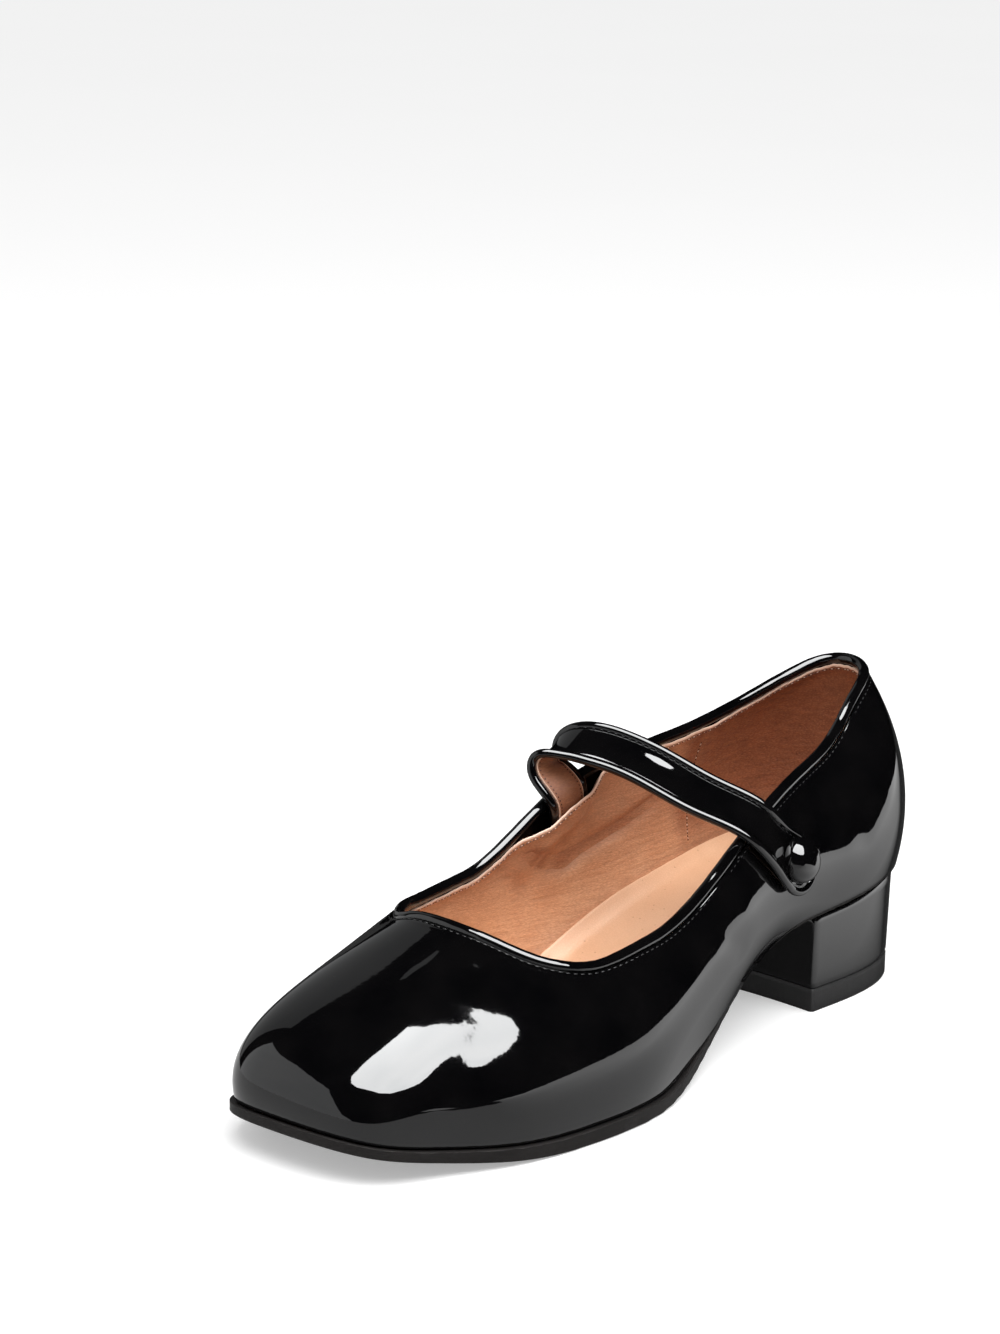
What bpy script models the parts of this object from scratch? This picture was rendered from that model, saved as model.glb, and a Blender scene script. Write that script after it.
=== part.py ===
"""Left mary jane shoe on a low block heel, standing empty on its sole.

Toe towards -Y, lateral side towards +X, floor at Z = 0, origin under the middle of the
whole shoe. The surface of the last is worked out from length, ball width, instep and heel
height through the sections in SECTIONS. The bottom, the heel, the piping and the strap all
follow from that surface.
"""

import math
from collections import namedtuple

import bmesh
import bpy
import numpy as np
from mathutils import Matrix, Vector

# Driving dimensions of the last, in metres.
LENGTH = 0.248
BALL_WIDTH = 0.084
INSTEP = 0.056
HEEL_HEIGHT = 0.034
TOE_SPRING = 0.0083

# Wall of the upper, and the gap left between pieces that touch.
WALL = 0.0020
GAP = 0.0003

# Outsole: its edge at the forefoot, its skived edge at the heel seat, and how far the edge
# stands out past the upper, negative where it hides under it.
SOLE_EDGE = 0.0042
SEAT_EDGE = 0.0012
FORE_LEDGE = 0.0013
WAIST_LEDGE = -0.0014
EDGE_ROUND = 0.0005

# Stations of the bottom profile, as distances forward of the heel back: the seat slopes down
# to SEAT_END, the shank comes down to the floor at TREAD_START, and the sole is flat on it up
# to TREAD_END. The ledge of the outsole grows from LEDGE_START to LEDGE_END.
SEAT_END = 0.060
LEDGE_START = 0.092
LEDGE_END = 0.140
TREAD_START = 0.152
TREAD_END = 0.184
SEAT_SLOPE = 0.080

# The medial side of the waist rises by this much over this width.
ARCH_RISE = 0.0050
ARCH_WIDTH = 0.062

# Insole, set in from the feather line by the wall and a little play.
INSOLE_THICK = 0.0035
INSOLE_CLEAR = 0.0026

# Heel: breast line and its hollow, how far the block stands in from the feather line, how
# much it tapers down to the lift, the corners of block and lift, and the lift itself.
BREAST = 0.057
BREAST_HOLLOW = 0.0012
BLOCK_INSET = 0.0012
BLOCK_TAPER = 0.0006
BLOCK_CORNER = 0.0020
LIFT_CORNER = 0.0008
LIFT_THICK = 0.0070

# Bead round the collar.
PIPING_RADIUS = 0.0017

# Strap: body between two beads, widening to a round tip about the button. The widening runs
# between two distances back from the centre of the tip.
STRAP_THICK = 0.0022
STRAP_HALF = 0.0080
STRAP_BEAD = 0.0013
TIP_RADIUS = 0.0088
WIDEN_FROM = 0.0120
WIDEN_TO = 0.0020

# Button: a dome on a short straight rim and a smaller foot, set back from the tip's centre
# and clear of the slight twist of the strap under it.
BUTTON_RADIUS = 0.0063
BUTTON_HEIGHT = 0.0050
BUTTON_RIM = 0.0006
BUTTON_FOOT = 0.0050
BUTTON_BACK = 0.0030
BUTTON_CLEAR = 0.0006

# How finely each shape is divided.
COLUMNS_PER_SECTION = 3
BEADS_PER_SECTION = 4
WALL_STEPS = 12
PLATE_STATIONS = 60
END_TRIM = 0.0002
OUTLINE_SAMPLES = 1200
HEEL_STATIONS = 20
CORNER_STEPS = 4
BREAST_STEPS = 9
STRAP_STATIONS = 36
TIP_STEPS = 7
TIP_BEAD_STEPS = 14
BUTTON_STEPS = 7
BUTTON_SIDES = 24
TINY_STEP = 0.0001
MERGE = 0.00002
SHARP_ANGLE = math.radians(35.0)

# Sections of the last, a row for each place round the feather line, from the heel back
# along the lateral side to the toe and home along the medial side.
#   forward, top_forward            per cent of LENGTH, from the heel back
#   side, top_side                  per cent of BALL_WIDTH, lateral positive
#   wall                            topline above the feather line, per cent of INSTEP
#   low_rise, low_swell             lower handle: per cent of the wall, per cent of BALL_WIDTH
#   reach, drop, high_swell         upper handle: per cent of the way from topline to feather,
#                                   per cent of the wall, per cent of BALL_WIDTH
Section = namedtuple(
    "Section",
    "place forward side top_forward top_side wall low_rise low_swell reach drop high_swell",
)
SECTIONS = [
    Section("heel_back", 0.0, 0.0, 2.6, -0.6, 101, 30, 5.0, 100, 35, 3.2),
    Section("heel_round_lateral", 3.2, 23.6, 4.8, 12.4, 100, 30, 4.8, 100, 35, 3.4),
    Section("heel_side_lateral", 11.3, 33.3, 10.1, 18.8, 94, 30, 4.8, 100, 35, 3.6),
    Section("seat_lateral", 21.0, 33.9, 17.5, 23.4, 79, 30, 5.4, 100, 35, 5.0),
    Section("shank_lateral", 31.5, 33.7, 28.2, 29.3, 75, 30, 7.1, 100, 35, 6.8),
    Section("waist_lateral", 41.5, 38.6, 39.1, 36.0, 76, 32, 6.0, 80, 32, 6.0),
    Section("joint_lateral", 51.6, 45.4, 49.2, 40.0, 73, 34, 4.8, 80, 30, 4.8),
    Section("ball_lateral", 62.5, 53.1, 58.5, 42.0, 70, 36, 3.6, 75, 26, 2.4),
    Section("tread_lateral", 72.6, 52.9, 65.2, 41.0, 67, 45, 3.0, 60, 20, 1.8),
    Section("vamp_lateral", 82.7, 47.4, 70.0, 36.5, 67, 50, 3.0, 60, 25, 1.2),
    Section("toe_side_lateral", 91.1, 37.5, 73.0, 27.6, 67, 50, 3.0, 60, 30, 0.6),
    Section("toe_corner_lateral", 97.2, 28.1, 74.6, 17.4, 67, 50, 3.0, 61, 35, 0.6),
    Section("toe_lateral", 99.6, 9.5, 75.5, 6.0, 68, 50, 3.6, 60, 38, 0.6),
    Section("toe_medial", 100.0, -8.3, 75.8, -6.0, 69, 50, 4.8, 60, 38, 1.8),
    Section("toe_corner_medial", 99.0, -25.8, 75.6, -17.3, 69, 50, 5.4, 61, 35, 2.4),
    Section("toe_side_medial", 94.0, -37.2, 74.4, -27.4, 69, 50, 4.8, 60, 30, 1.8),
    Section("vamp_medial", 85.5, -42.3, 71.6, -35.1, 73, 50, 3.6, 60, 25, 1.8),
    Section("tread_medial", 74.6, -45.8, 67.5, -38.1, 75, 45, 3.0, 60, 20, 1.8),
    Section("ball_medial", 63.7, -41.0, 61.5, -37.0, 78, 36, 4.8, 75, 26, 3.6),
    Section("arch_medial", 52.4, -32.5, 52.4, -34.5, 83, 34, 8.0, 60, 30, 6.0),
    Section("waist_medial", 42.3, -28.6, 43.1, -32.2, 84, 32, 9.0, 60, 32, 7.0),
    Section("shank_medial", 31.5, -29.0, 32.3, -30.0, 80, 30, 8.0, 80, 35, 6.5),
    Section("seat_medial", 20.2, -32.0, 20.2, -26.8, 82, 30, 5.4, 100, 35, 4.2),
    Section("heel_side_medial", 10.5, -32.0, 10.1, -20.2, 93, 30, 4.8, 100, 35, 3.6),
    Section("heel_round_medial", 3.2, -23.0, 4.6, -13.2, 99, 30, 4.8, 100, 35, 3.4),
]

# Centre line of the strap from its root inside the medial topline to its round tip.
#   forward per cent of LENGTH, side per cent of BALL_WIDTH, height per cent of INSTEP above
#   the floor; face_turn is where the outer face looks in plan, in degrees from the lateral
#   side round by the toe to the medial side, and face_up its tilt upwards
StrapRow = namedtuple("StrapRow", "place forward side height face_turn face_up")
STRAP = [
    StrapRow("root", 44.9, -27.2, 114, -180, 2),
    StrapRow("collar_medial", 45.5, -26.5, 122, -180, 0),
    StrapRow("over_piping", 46.1, -28.4, 131, -180, 0),
    StrapRow("rise", 46.1, -33.6, 138, -176, 4),
    StrapRow("shoulder", 45.3, -33.2, 145.5, -148, 38),
    StrapRow("crown", 43.4, -20.0, 149, -68, 60),
    StrapRow("slope", 41.4, 0.0, 141, -42, 54),
    StrapRow("fall", 39.3, 19.0, 129, -38, 54),
    StrapRow("collar_lateral", 37.0, 35.8, 118.4, -14, 44),
    StrapRow("lie", 34.0, 41.0, 104, -2, 28),
    StrapRow("tip", 31.0, 41.2, 92, -8, 18),
]

COLLECTION_NAME = "mary_jane"

PATENT_BLACK = (0.006, 0.006, 0.007)
SOLE_BLACK = (0.020, 0.017, 0.017)
LIFT_BLACK = (0.030, 0.030, 0.030)
INSOLE_TAN = (0.72, 0.42, 0.24)


# --- helpers -------------------------------------------------------------------------------

def closed_spline(knots, values, at):
    """Cubic spline through values at the knots, closed; knots has one more entry, the lap."""
    count = len(values)
    steps = np.diff(knots)
    system = np.zeros((count, count))
    right = np.zeros((count, values.shape[1]))
    for row in range(count):
        before = steps[row - 1]
        after = steps[row]
        system[row, row - 1] = before
        system[row, row] += 2.0 * (before + after)
        system[row, (row + 1) % count] = after
        rise = (values[(row + 1) % count] - values[row]) / after
        fall = (values[row] - values[row - 1]) / before
        right[row] = 6.0 * (rise - fall)
    bend = np.linalg.solve(system, right)
    at = np.mod(at, knots[-1])
    left = np.clip(np.searchsorted(knots, at, side="right") - 1, 0, count - 1)
    nxt = (left + 1) % count
    step = steps[left][:, None]
    along = ((at - knots[left]) / steps[left])[:, None]
    back = 1.0 - along
    return (
        back * values[left]
        + along * values[nxt]
        + ((back**3 - back) * bend[left] + (along**3 - along) * bend[nxt]) * step**2 / 6.0
    )


def open_spline(knots, values, at):
    """Natural cubic spline through values at the knots."""
    count = len(values)
    steps = np.diff(knots)
    system = np.eye(count)
    right = np.zeros((count, values.shape[1]))
    for row in range(1, count - 1):
        system[row, row - 1] = steps[row - 1]
        system[row, row] = 2.0 * (steps[row - 1] + steps[row])
        system[row, row + 1] = steps[row]
        rise = (values[row + 1] - values[row]) / steps[row]
        fall = (values[row] - values[row - 1]) / steps[row - 1]
        right[row] = 6.0 * (rise - fall)
    bend = np.linalg.solve(system, right)
    left = np.clip(np.searchsorted(knots, at, side="right") - 1, 0, count - 2)
    step = steps[left][:, None]
    along = ((at - knots[left]) / steps[left])[:, None]
    back = 1.0 - along
    return (
        back * values[left]
        + along * values[left + 1]
        + ((back**3 - back) * bend[left] + (along**3 - along) * bend[left + 1]) * step**2 / 6.0
    )


def unit(vectors):
    return vectors / np.linalg.norm(vectors, axis=-1, keepdims=True)


def smooth_step(start, end, value):
    share = np.clip((value - start) / (end - start), 0.0, 1.0)
    return share * share * (3.0 - 2.0 * share)


# --- bottom of the last --------------------------------------------------------------------

def tread_height(forward):
    """Height of the lateral edge of the underside above the floor."""
    seat = HEEL_HEIGHT - SEAT_SLOPE * forward
    seat_low = HEEL_HEIGHT - SEAT_SLOPE * SEAT_END
    span = TREAD_START - SEAT_END
    share = np.clip((forward - SEAT_END) / span, 0.0, 1.0)
    shank = seat_low * (1.0 - 3.0 * share**2 + 2.0 * share**3)
    shank = shank - SEAT_SLOPE * span * share * (1.0 - share) ** 2
    lift = np.clip((forward - TREAD_END) / (LENGTH - TREAD_END), 0.0, None)
    spring = TOE_SPRING * lift**2
    return np.where(forward < SEAT_END, seat, np.where(forward < TREAD_START, shank, spring))


def sole_thickness(forward):
    return SEAT_EDGE + (SOLE_EDGE - SEAT_EDGE) * smooth_step(SEAT_END, TREAD_START, forward)


def arch_height(forward, side):
    """How far the waist rises towards the medial side."""
    share = np.clip((forward - SEAT_END) / (TREAD_START - SEAT_END), 0.0, 1.0)
    return ARCH_RISE * np.sin(math.pi * share) ** 2 * (0.5 - side / ARCH_WIDTH)


def under_height(forward, side):
    """Height of the underside of the outsole."""
    return tread_height(forward) + arch_height(forward, side)


def feather_height(forward, side):
    """Height of the top of the outsole, where upper and sole meet."""
    return under_height(forward, side) + sole_thickness(forward)


# --- surface of the last -------------------------------------------------------------------

FORWARD = np.array([row.forward for row in SECTIONS]) * LENGTH / 100.0
SIDE = np.array([row.side for row in SECTIONS]) * BALL_WIDTH / 100.0
OUTLINE = np.stack([FORWARD, SIDE], axis=1)
OUTLINE_STEPS = np.linalg.norm(np.roll(OUTLINE, -1, axis=0) - OUTLINE, axis=1)
KNOTS = np.concatenate([[0.0], np.cumsum(OUTLINE_STEPS)])
HANDLES = np.array(
    [
        [
            row.top_forward * LENGTH / 100.0,
            row.top_side * BALL_WIDTH / 100.0,
            row.wall * INSTEP / 100.0,
            row.low_rise / 100.0,
            row.low_swell * BALL_WIDTH / 100.0,
            row.reach / 100.0,
            row.drop / 100.0,
            row.high_swell * BALL_WIDTH / 100.0,
        ]
        for row in SECTIONS
    ]
)


def section_places(per_section):
    """Places round the feather line, evenly shared out between the sections."""
    places = []
    for row, step in enumerate(np.diff(KNOTS)):
        for part in range(per_section):
            places.append(KNOTS[row] + step * part / per_section)
    return np.array(places)


def feather(places):
    """Feather line in plan and its outward direction, as forward and side."""
    points = closed_spline(KNOTS, OUTLINE, places)
    ahead = closed_spline(KNOTS, OUTLINE, places + TINY_STEP)
    behind = closed_spline(KNOTS, OUTLINE, places - TINY_STEP)
    along = unit(ahead - behind)
    outward = np.stack([-along[:, 1], along[:, 0]], axis=1)
    return points, outward


def last_rings(places):
    """The four rings of control points of the last's wall, from feather to topline."""
    plan, outward = feather(places)
    handle = closed_spline(KNOTS, HANDLES, places)
    top_plan = handle[:, 0:2]
    wall, low_rise, low_swell, reach, drop, high_swell = (handle[:, i, None] for i in range(2, 8))
    base = feather_height(plan[:, 0], plan[:, 1])[:, None] + GAP
    ring_0 = np.hstack([plan, base])
    ring_1 = np.hstack([plan + outward * low_swell, base + wall * low_rise])
    high_plan = top_plan + (plan - top_plan) * reach + outward * high_swell
    ring_2 = np.hstack([high_plan, base + wall * (1.0 - drop)])
    ring_3 = np.hstack([top_plan, base + wall])
    return ring_0, ring_1, ring_2, ring_3


def last_surface(places, share):
    """Points of the last at the places and the share of the way up, as forward, side, up."""
    ring_0, ring_1, ring_2, ring_3 = last_rings(places)
    rest = 1.0 - share
    return (
        rest**3 * ring_0
        + 3.0 * rest**2 * share * ring_1
        + 3.0 * rest * share**2 * ring_2
        + share**3 * ring_3
    )


def to_world(points):
    """From forward, side, up to x, y, z."""
    points = np.asarray(points)
    return np.stack([points[..., 1], -points[..., 0], points[..., 2]], axis=-1)


# --- mesh building -------------------------------------------------------------------------

def loft(name, rings, closed_ends):
    """Mesh object through equal closed rings of points; the ends may be filled."""
    mesh = bpy.data.meshes.new(name)
    shape = bmesh.new()
    corners = [[shape.verts.new(point) for point in ring] for ring in rings]
    count = len(rings[0])
    for low, high in zip(corners, corners[1:]):
        for i in range(count):
            j = (i + 1) % count
            shape.faces.new((low[i], low[j], high[j], high[i]))
    if closed_ends:
        shape.faces.new(corners[0])
        shape.faces.new(list(reversed(corners[-1])))
    bmesh.ops.recalc_face_normals(shape, faces=shape.faces)
    shape.to_mesh(mesh)
    shape.free()
    mesh.shade_smooth()
    mesh.set_sharp_from_angle(angle=SHARP_ANGLE)
    return bpy.data.objects.new(name, mesh)


def tube(name, points, radius, closed):
    """Round bead along a line of points, as a curve object with filled ends."""
    curve = bpy.data.curves.new(name, "CURVE")
    curve.dimensions = "3D"
    spline = curve.splines.new("POLY")
    spline.points.add(len(points) - 1)
    for control, point in zip(spline.points, points):
        control.co = (*point, 1.0)
    spline.use_cyclic_u = closed
    curve.bevel_depth = radius
    curve.bevel_resolution = 2
    curve.use_fill_caps = not closed
    return bpy.data.objects.new(name, curve)


def material(name, colour, roughness, coat=0.0):
    made = bpy.data.materials.new(name)
    made.use_nodes = True
    shader = made.node_tree.nodes["Principled BSDF"]
    shader.inputs["Base Color"].default_value = (*colour, 1.0)
    shader.inputs["Roughness"].default_value = roughness
    shader.inputs["Metallic"].default_value = 0.0
    shader.inputs["Coat Weight"].default_value = coat
    made.diffuse_color = (*colour, 1.0)
    return made


# --- upper ---------------------------------------------------------------------------------

def make_upper():
    places = section_places(COLUMNS_PER_SECTION)
    rings = [to_world(last_surface(places, step / WALL_STEPS)) for step in range(WALL_STEPS + 1)]
    upper = loft("upper", rings, closed_ends=False)
    shell = upper.modifiers.new("wall", "SOLIDIFY")
    shell.thickness = WALL
    shell.offset = -1.0
    shell.use_rim = True
    return upper


def rim_frame(places):
    """Outer edge of the rim, the way the wall runs up to it, and the wall's outward normal."""
    rim = to_world(last_surface(places, 1.0))
    below = to_world(last_surface(places, 0.97))
    ahead = to_world(last_surface(places + TINY_STEP, 1.0))
    behind = to_world(last_surface(places - TINY_STEP, 1.0))
    along = unit(ahead - behind)
    rise = rim - below
    rise = unit(rise - along * np.sum(rise * along, axis=1, keepdims=True))
    return rim, rise, np.cross(rise, along)


def make_collar_piping():
    rim, rise, normal = rim_frame(section_places(BEADS_PER_SECTION))
    centre = rim - normal * WALL / 2.0 + rise * (PIPING_RADIUS + GAP)
    return tube("collar_piping", centre, PIPING_RADIUS, closed=True)


# --- bottom pieces -------------------------------------------------------------------------

def outline_sides(ledge):
    """Lateral and medial side of the feather line moved out by the ledge, from back to toe."""
    places = np.linspace(0.0, KNOTS[-1], OUTLINE_SAMPLES, endpoint=False)
    plan, outward = feather(places)
    edge = plan + outward * ledge(plan[:, :1])
    back = int(np.argmin(edge[:, 0]))
    edge = np.roll(edge, -back, axis=0)
    toe = int(np.argmax(edge[:, 0]))
    lateral = edge[: toe + 1]
    medial = np.vstack([edge[toe:], edge[:1]])[::-1]
    return lateral, medial


def side_at(forward, line):
    return np.interp(forward, line[:, 0], line[:, 1])


def plate_stations(start, end):
    """Stations along the shoe, the same for every plate apart from its own two ends."""
    shared = LENGTH * (0.5 - 0.5 * np.cos(np.linspace(0.0, math.pi, PLATE_STATIONS)))
    first = start + END_TRIM
    last = end - END_TRIM
    inside = shared[(shared > first + END_TRIM) & (shared < last - END_TRIM)]
    return np.concatenate([[first], inside, [last]])


def plate(name, ledge, low, high):
    """Plate between two heights over the length of the shoe, with rounded edges."""
    lateral, medial = outline_sides(ledge)
    rings = []
    for forward in plate_stations(lateral[0, 0], lateral[-1, 0]):
        out = side_at(forward, lateral)
        inn = side_at(forward, medial)
        middle = (out + inn) / 2.0
        trim = min(EDGE_ROUND, (out - inn) / 5.0)
        ring = [
            (forward, out - trim, low(forward, out - trim)),
            (forward, out, low(forward, out) + EDGE_ROUND),
            (forward, out, high(forward, out) - EDGE_ROUND),
            (forward, out - trim, high(forward, out - trim)),
            (forward, middle, high(forward, middle)),
            (forward, inn + trim, high(forward, inn + trim)),
            (forward, inn, high(forward, inn) - EDGE_ROUND),
            (forward, inn, low(forward, inn) + EDGE_ROUND),
            (forward, inn + trim, low(forward, inn + trim)),
            (forward, middle, low(forward, middle)),
        ]
        rings.append(to_world(ring))
    return loft(name, rings, closed_ends=True)


def sole_ledge(forward):
    grown = smooth_step(LEDGE_START, LEDGE_END, forward)
    return WAIST_LEDGE + (FORE_LEDGE - WAIST_LEDGE) * grown


def make_outsole():
    return plate("outsole", sole_ledge, under_height, feather_height)


def insole_ledge(forward):
    return np.full_like(forward, -INSOLE_CLEAR)


def insole_under(forward, side):
    return feather_height(forward, side) + GAP


def insole_top(forward, side):
    return insole_under(forward, side) + INSOLE_THICK


def make_insole():
    return plate("insole", insole_ledge, insole_under, insole_top)


# --- heel ----------------------------------------------------------------------------------

def heel_outline(inset, corner):
    """D shaped plan of the heel, from the feather line, cut off by the hollow breast."""
    lateral, medial = outline_sides(lambda forward: np.full_like(forward, -inset))
    start = lateral[0, 0]
    front = BREAST - corner
    turns = np.linspace(0.0, math.pi / 2.0, HEEL_STATIONS)
    forward = start + (front - start) * (1.0 - np.cos(turns))
    outer = np.stack([forward, side_at(forward, lateral)], axis=1)
    inner = np.stack([forward, side_at(forward, medial)], axis=1)
    out_end = outer[-1, 1] - corner
    in_end = inner[-1, 1] + corner

    turn = np.linspace(0.0, math.pi / 2.0, CORNER_STEPS + 1)[1:]
    reach = front + corner * np.sin(turn)
    round_out = np.stack([reach, out_end + corner * np.cos(turn)], axis=1)
    round_in = np.stack([reach, in_end - corner * np.cos(turn)], axis=1)

    across = np.linspace(out_end, in_end, BREAST_STEPS)[1:-1]
    share = (2.0 * across - out_end - in_end) / (out_end - in_end)
    breast = np.stack([BREAST - BREAST_HOLLOW * (1.0 - share**2), across], axis=1)
    return np.vstack([outer, round_out, breast, round_in[::-1], inner[1:][::-1]])


def make_heel_block():
    """Block from the lift up to the sloping seat, a little wider at the top."""
    top = heel_outline(BLOCK_INSET, BLOCK_CORNER)
    foot = heel_outline(BLOCK_INSET + BLOCK_TAPER, BLOCK_CORNER)
    top_ring = np.column_stack([top, tread_height(top[:, 0]) - GAP])
    foot_ring = np.column_stack([foot, np.full(len(foot), LIFT_THICK + GAP)])
    return loft("heel_block", [to_world(foot_ring), to_world(top_ring)], closed_ends=True)


def make_heel_lift():
    """Flat lift under the block, with sharper corners."""
    outline = heel_outline(BLOCK_INSET + BLOCK_TAPER, LIFT_CORNER)
    curve = bpy.data.curves.new("heel_lift", "CURVE")
    curve.dimensions = "2D"
    curve.fill_mode = "BOTH"
    curve.extrude = LIFT_THICK / 2.0
    spline = curve.splines.new("POLY")
    spline.points.add(len(outline) - 1)
    for control, (forward, side) in zip(spline.points, outline):
        control.co = (side, -forward, 0.0, 1.0)
    spline.use_cyclic_u = True
    lift = bpy.data.objects.new("heel_lift", curve)
    lift.location.z = LIFT_THICK / 2.0
    return lift


# --- strap ---------------------------------------------------------------------------------

STRAP_POINTS = to_world(
    [
        (row.forward * LENGTH / 100.0, row.side * BALL_WIDTH / 100.0, row.height * INSTEP / 100.0)
        for row in STRAP
    ]
)
STRAP_FACE = np.radians([(row.face_turn, row.face_up) for row in STRAP])
STRAP_STEPS = np.linalg.norm(np.diff(STRAP_POINTS, axis=0), axis=1)
STRAP_KNOTS = np.concatenate([[0.0], np.cumsum(STRAP_STEPS)])
TIP_PLACE = STRAP_KNOTS[-1]


def strap_frame(places):
    """Centre line of the strap with its directions along, across and off the foot."""
    table = np.column_stack([STRAP_POINTS, STRAP_FACE])
    inside = np.clip(places, 0.0, TIP_PLACE)
    sample = open_spline(STRAP_KNOTS, table, inside)
    ahead = open_spline(STRAP_KNOTS, table, np.clip(inside + TINY_STEP, 0.0, TIP_PLACE))
    behind = open_spline(STRAP_KNOTS, table, np.clip(inside - TINY_STEP, 0.0, TIP_PLACE))
    along = unit(ahead[:, :3] - behind[:, :3])
    centre = sample[:, :3] + along * (places - inside)[:, None]
    turn = sample[:, 3]
    up = sample[:, 4]
    face = np.stack([np.cos(turn) * np.cos(up), np.sin(turn) * np.cos(up), np.sin(up)], axis=1)
    across = unit(np.cross(face, along))
    off = np.cross(along, across)
    return centre, along, across, off


def strap_half(places, half, tip):
    """Half width along the strap: parallel, then widening to the round tip."""
    beyond = places - TIP_PLACE
    body = half + (tip - half) * smooth_step(-WIDEN_FROM, -WIDEN_TO, beyond)
    end = np.sqrt(np.clip(tip**2 - np.clip(beyond, 0.0, tip) ** 2, 0.0, None))
    return np.where(beyond > 0.0, end, body)


def make_strap():
    half = STRAP_HALF - 2.0 * STRAP_BEAD - GAP
    tip = TIP_RADIUS - 2.0 * STRAP_BEAD - GAP
    body = np.linspace(0.0, TIP_PLACE, STRAP_STATIONS)
    turns = np.linspace(0.0, math.pi / 2.0, TIP_STEPS + 2)[1:-1]
    places = np.concatenate([body, TIP_PLACE + tip * np.sin(turns)])
    centre, _, across, off = strap_frame(places)
    reach = across * strap_half(places, half, tip)[:, None]
    lift = off * STRAP_THICK / 2.0
    corners = [centre + reach - lift, centre + reach + lift, centre - reach + lift, centre - reach - lift]
    return loft("strap", np.stack(corners, axis=1), closed_ends=True)


def make_strap_piping():
    """One bead up the front edge of the strap, round its tip and back along the rear edge."""
    half = STRAP_HALF - STRAP_BEAD
    tip = TIP_RADIUS - STRAP_BEAD
    body = np.linspace(0.0, TIP_PLACE, STRAP_STATIONS)
    centre, along, across, _ = strap_frame(body)
    reach = across * strap_half(body, half, tip)[:, None]
    turn = np.linspace(0.0, math.pi, TIP_BEAD_STEPS)[1:-1, None]
    round_end = centre[-1] + tip * (along[-1] * np.sin(turn) - across[-1] * np.cos(turn))
    line = np.vstack([centre - reach, round_end, (centre + reach)[::-1]])
    return tube("strap_piping", line, STRAP_BEAD, closed=False)


# --- button --------------------------------------------------------------------------------

def button_profile():
    """Half section of the button from the top of its dome down to its foot."""
    turns = np.linspace(math.pi / 2.0, 0.0, BUTTON_STEPS)
    dome = [
        (BUTTON_RADIUS * math.cos(turn), 0.0, BUTTON_RIM + BUTTON_HEIGHT * math.sin(turn))
        for turn in turns
    ]
    dome[0] = (0.0, 0.0, BUTTON_RIM + BUTTON_HEIGHT)
    return dome + [(BUTTON_FOOT, 0.0, 0.0), (0.0, 0.0, 0.0)]


def make_button():
    points = button_profile()
    profile = bpy.data.meshes.new("button")
    profile.from_pydata(points, [(i, i + 1) for i in range(len(points) - 1)], [])
    button = bpy.data.objects.new("button", profile)
    turned = button.modifiers.new("turned", "SCREW")
    turned.axis = "Z"
    turned.steps = BUTTON_SIDES
    turned.render_steps = BUTTON_SIDES
    turned.use_merge_vertices = True
    turned.merge_threshold = MERGE
    turned.use_smooth_shade = True
    centre, _, across, off = strap_frame(np.array([TIP_PLACE - BUTTON_BACK]))
    place = centre[0] + off[0] * (STRAP_THICK / 2.0 + BUTTON_CLEAR)
    axes = Matrix((tuple(across[0]), tuple(np.cross(off[0], across[0])), tuple(off[0])))
    button.matrix_world = Matrix.Translation(Vector(place)) @ axes.transposed().to_4x4()
    return button


# --- assembly ------------------------------------------------------------------------------

def middle_of_floor(pieces):
    """Point on the floor under the middle of the box round all the pieces."""
    depsgraph = bpy.context.evaluated_depsgraph_get()
    points = []
    for piece in pieces:
        done = piece.evaluated_get(depsgraph)
        points += [done.matrix_world @ vertex.co for vertex in done.to_mesh().vertices]
        done.to_mesh_clear()
    points = np.array(points)
    low = points.min(axis=0)
    high = points.max(axis=0)
    return Vector(((low[0] + high[0]) / 2.0, (low[1] + high[1]) / 2.0, low[2]))


def build():
    for old in list(bpy.data.objects):
        bpy.data.objects.remove(old, do_unlink=True)
    shoe = bpy.data.collections.new(COLLECTION_NAME)
    bpy.context.scene.collection.children.link(shoe)
    pieces = [
        (make_upper, "upper_patent", PATENT_BLACK, 0.08, 1.0),
        (make_collar_piping, "piping_patent", PATENT_BLACK, 0.08, 1.0),
        (make_outsole, "outsole_rubber", SOLE_BLACK, 0.6, 0.0),
        (make_insole, "insole_leather", INSOLE_TAN, 0.55, 0.0),
        (make_heel_block, "heel_patent", PATENT_BLACK, 0.1, 1.0),
        (make_heel_lift, "lift_rubber", LIFT_BLACK, 0.6, 0.0),
        (make_strap, "strap_patent", PATENT_BLACK, 0.08, 1.0),
        (make_strap_piping, "strap_bead_patent", PATENT_BLACK, 0.08, 1.0),
        (make_button, "button_patent", PATENT_BLACK, 0.06, 1.0),
    ]
    made = []
    for make, name, colour, roughness, coat in pieces:
        piece = make()
        piece.data.materials.append(material(name, colour, roughness, coat))
        shoe.objects.link(piece)
        made.append(piece)

    origin = bpy.data.objects.new("shoe_origin", None)
    shoe.objects.link(origin)
    origin.location = -middle_of_floor(made)
    for piece in made:
        piece.parent = origin


build()
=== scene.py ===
"""Left mary jane in black patent leather on a low block heel, its strap fastened by a button.

Toe towards -Y, lateral side towards +X, floor at Z = 0, in metres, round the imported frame.
"""

import math
from collections import namedtuple

import bmesh
import bpy
import numpy as np
from mathutils import Euler, Matrix, Vector


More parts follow.
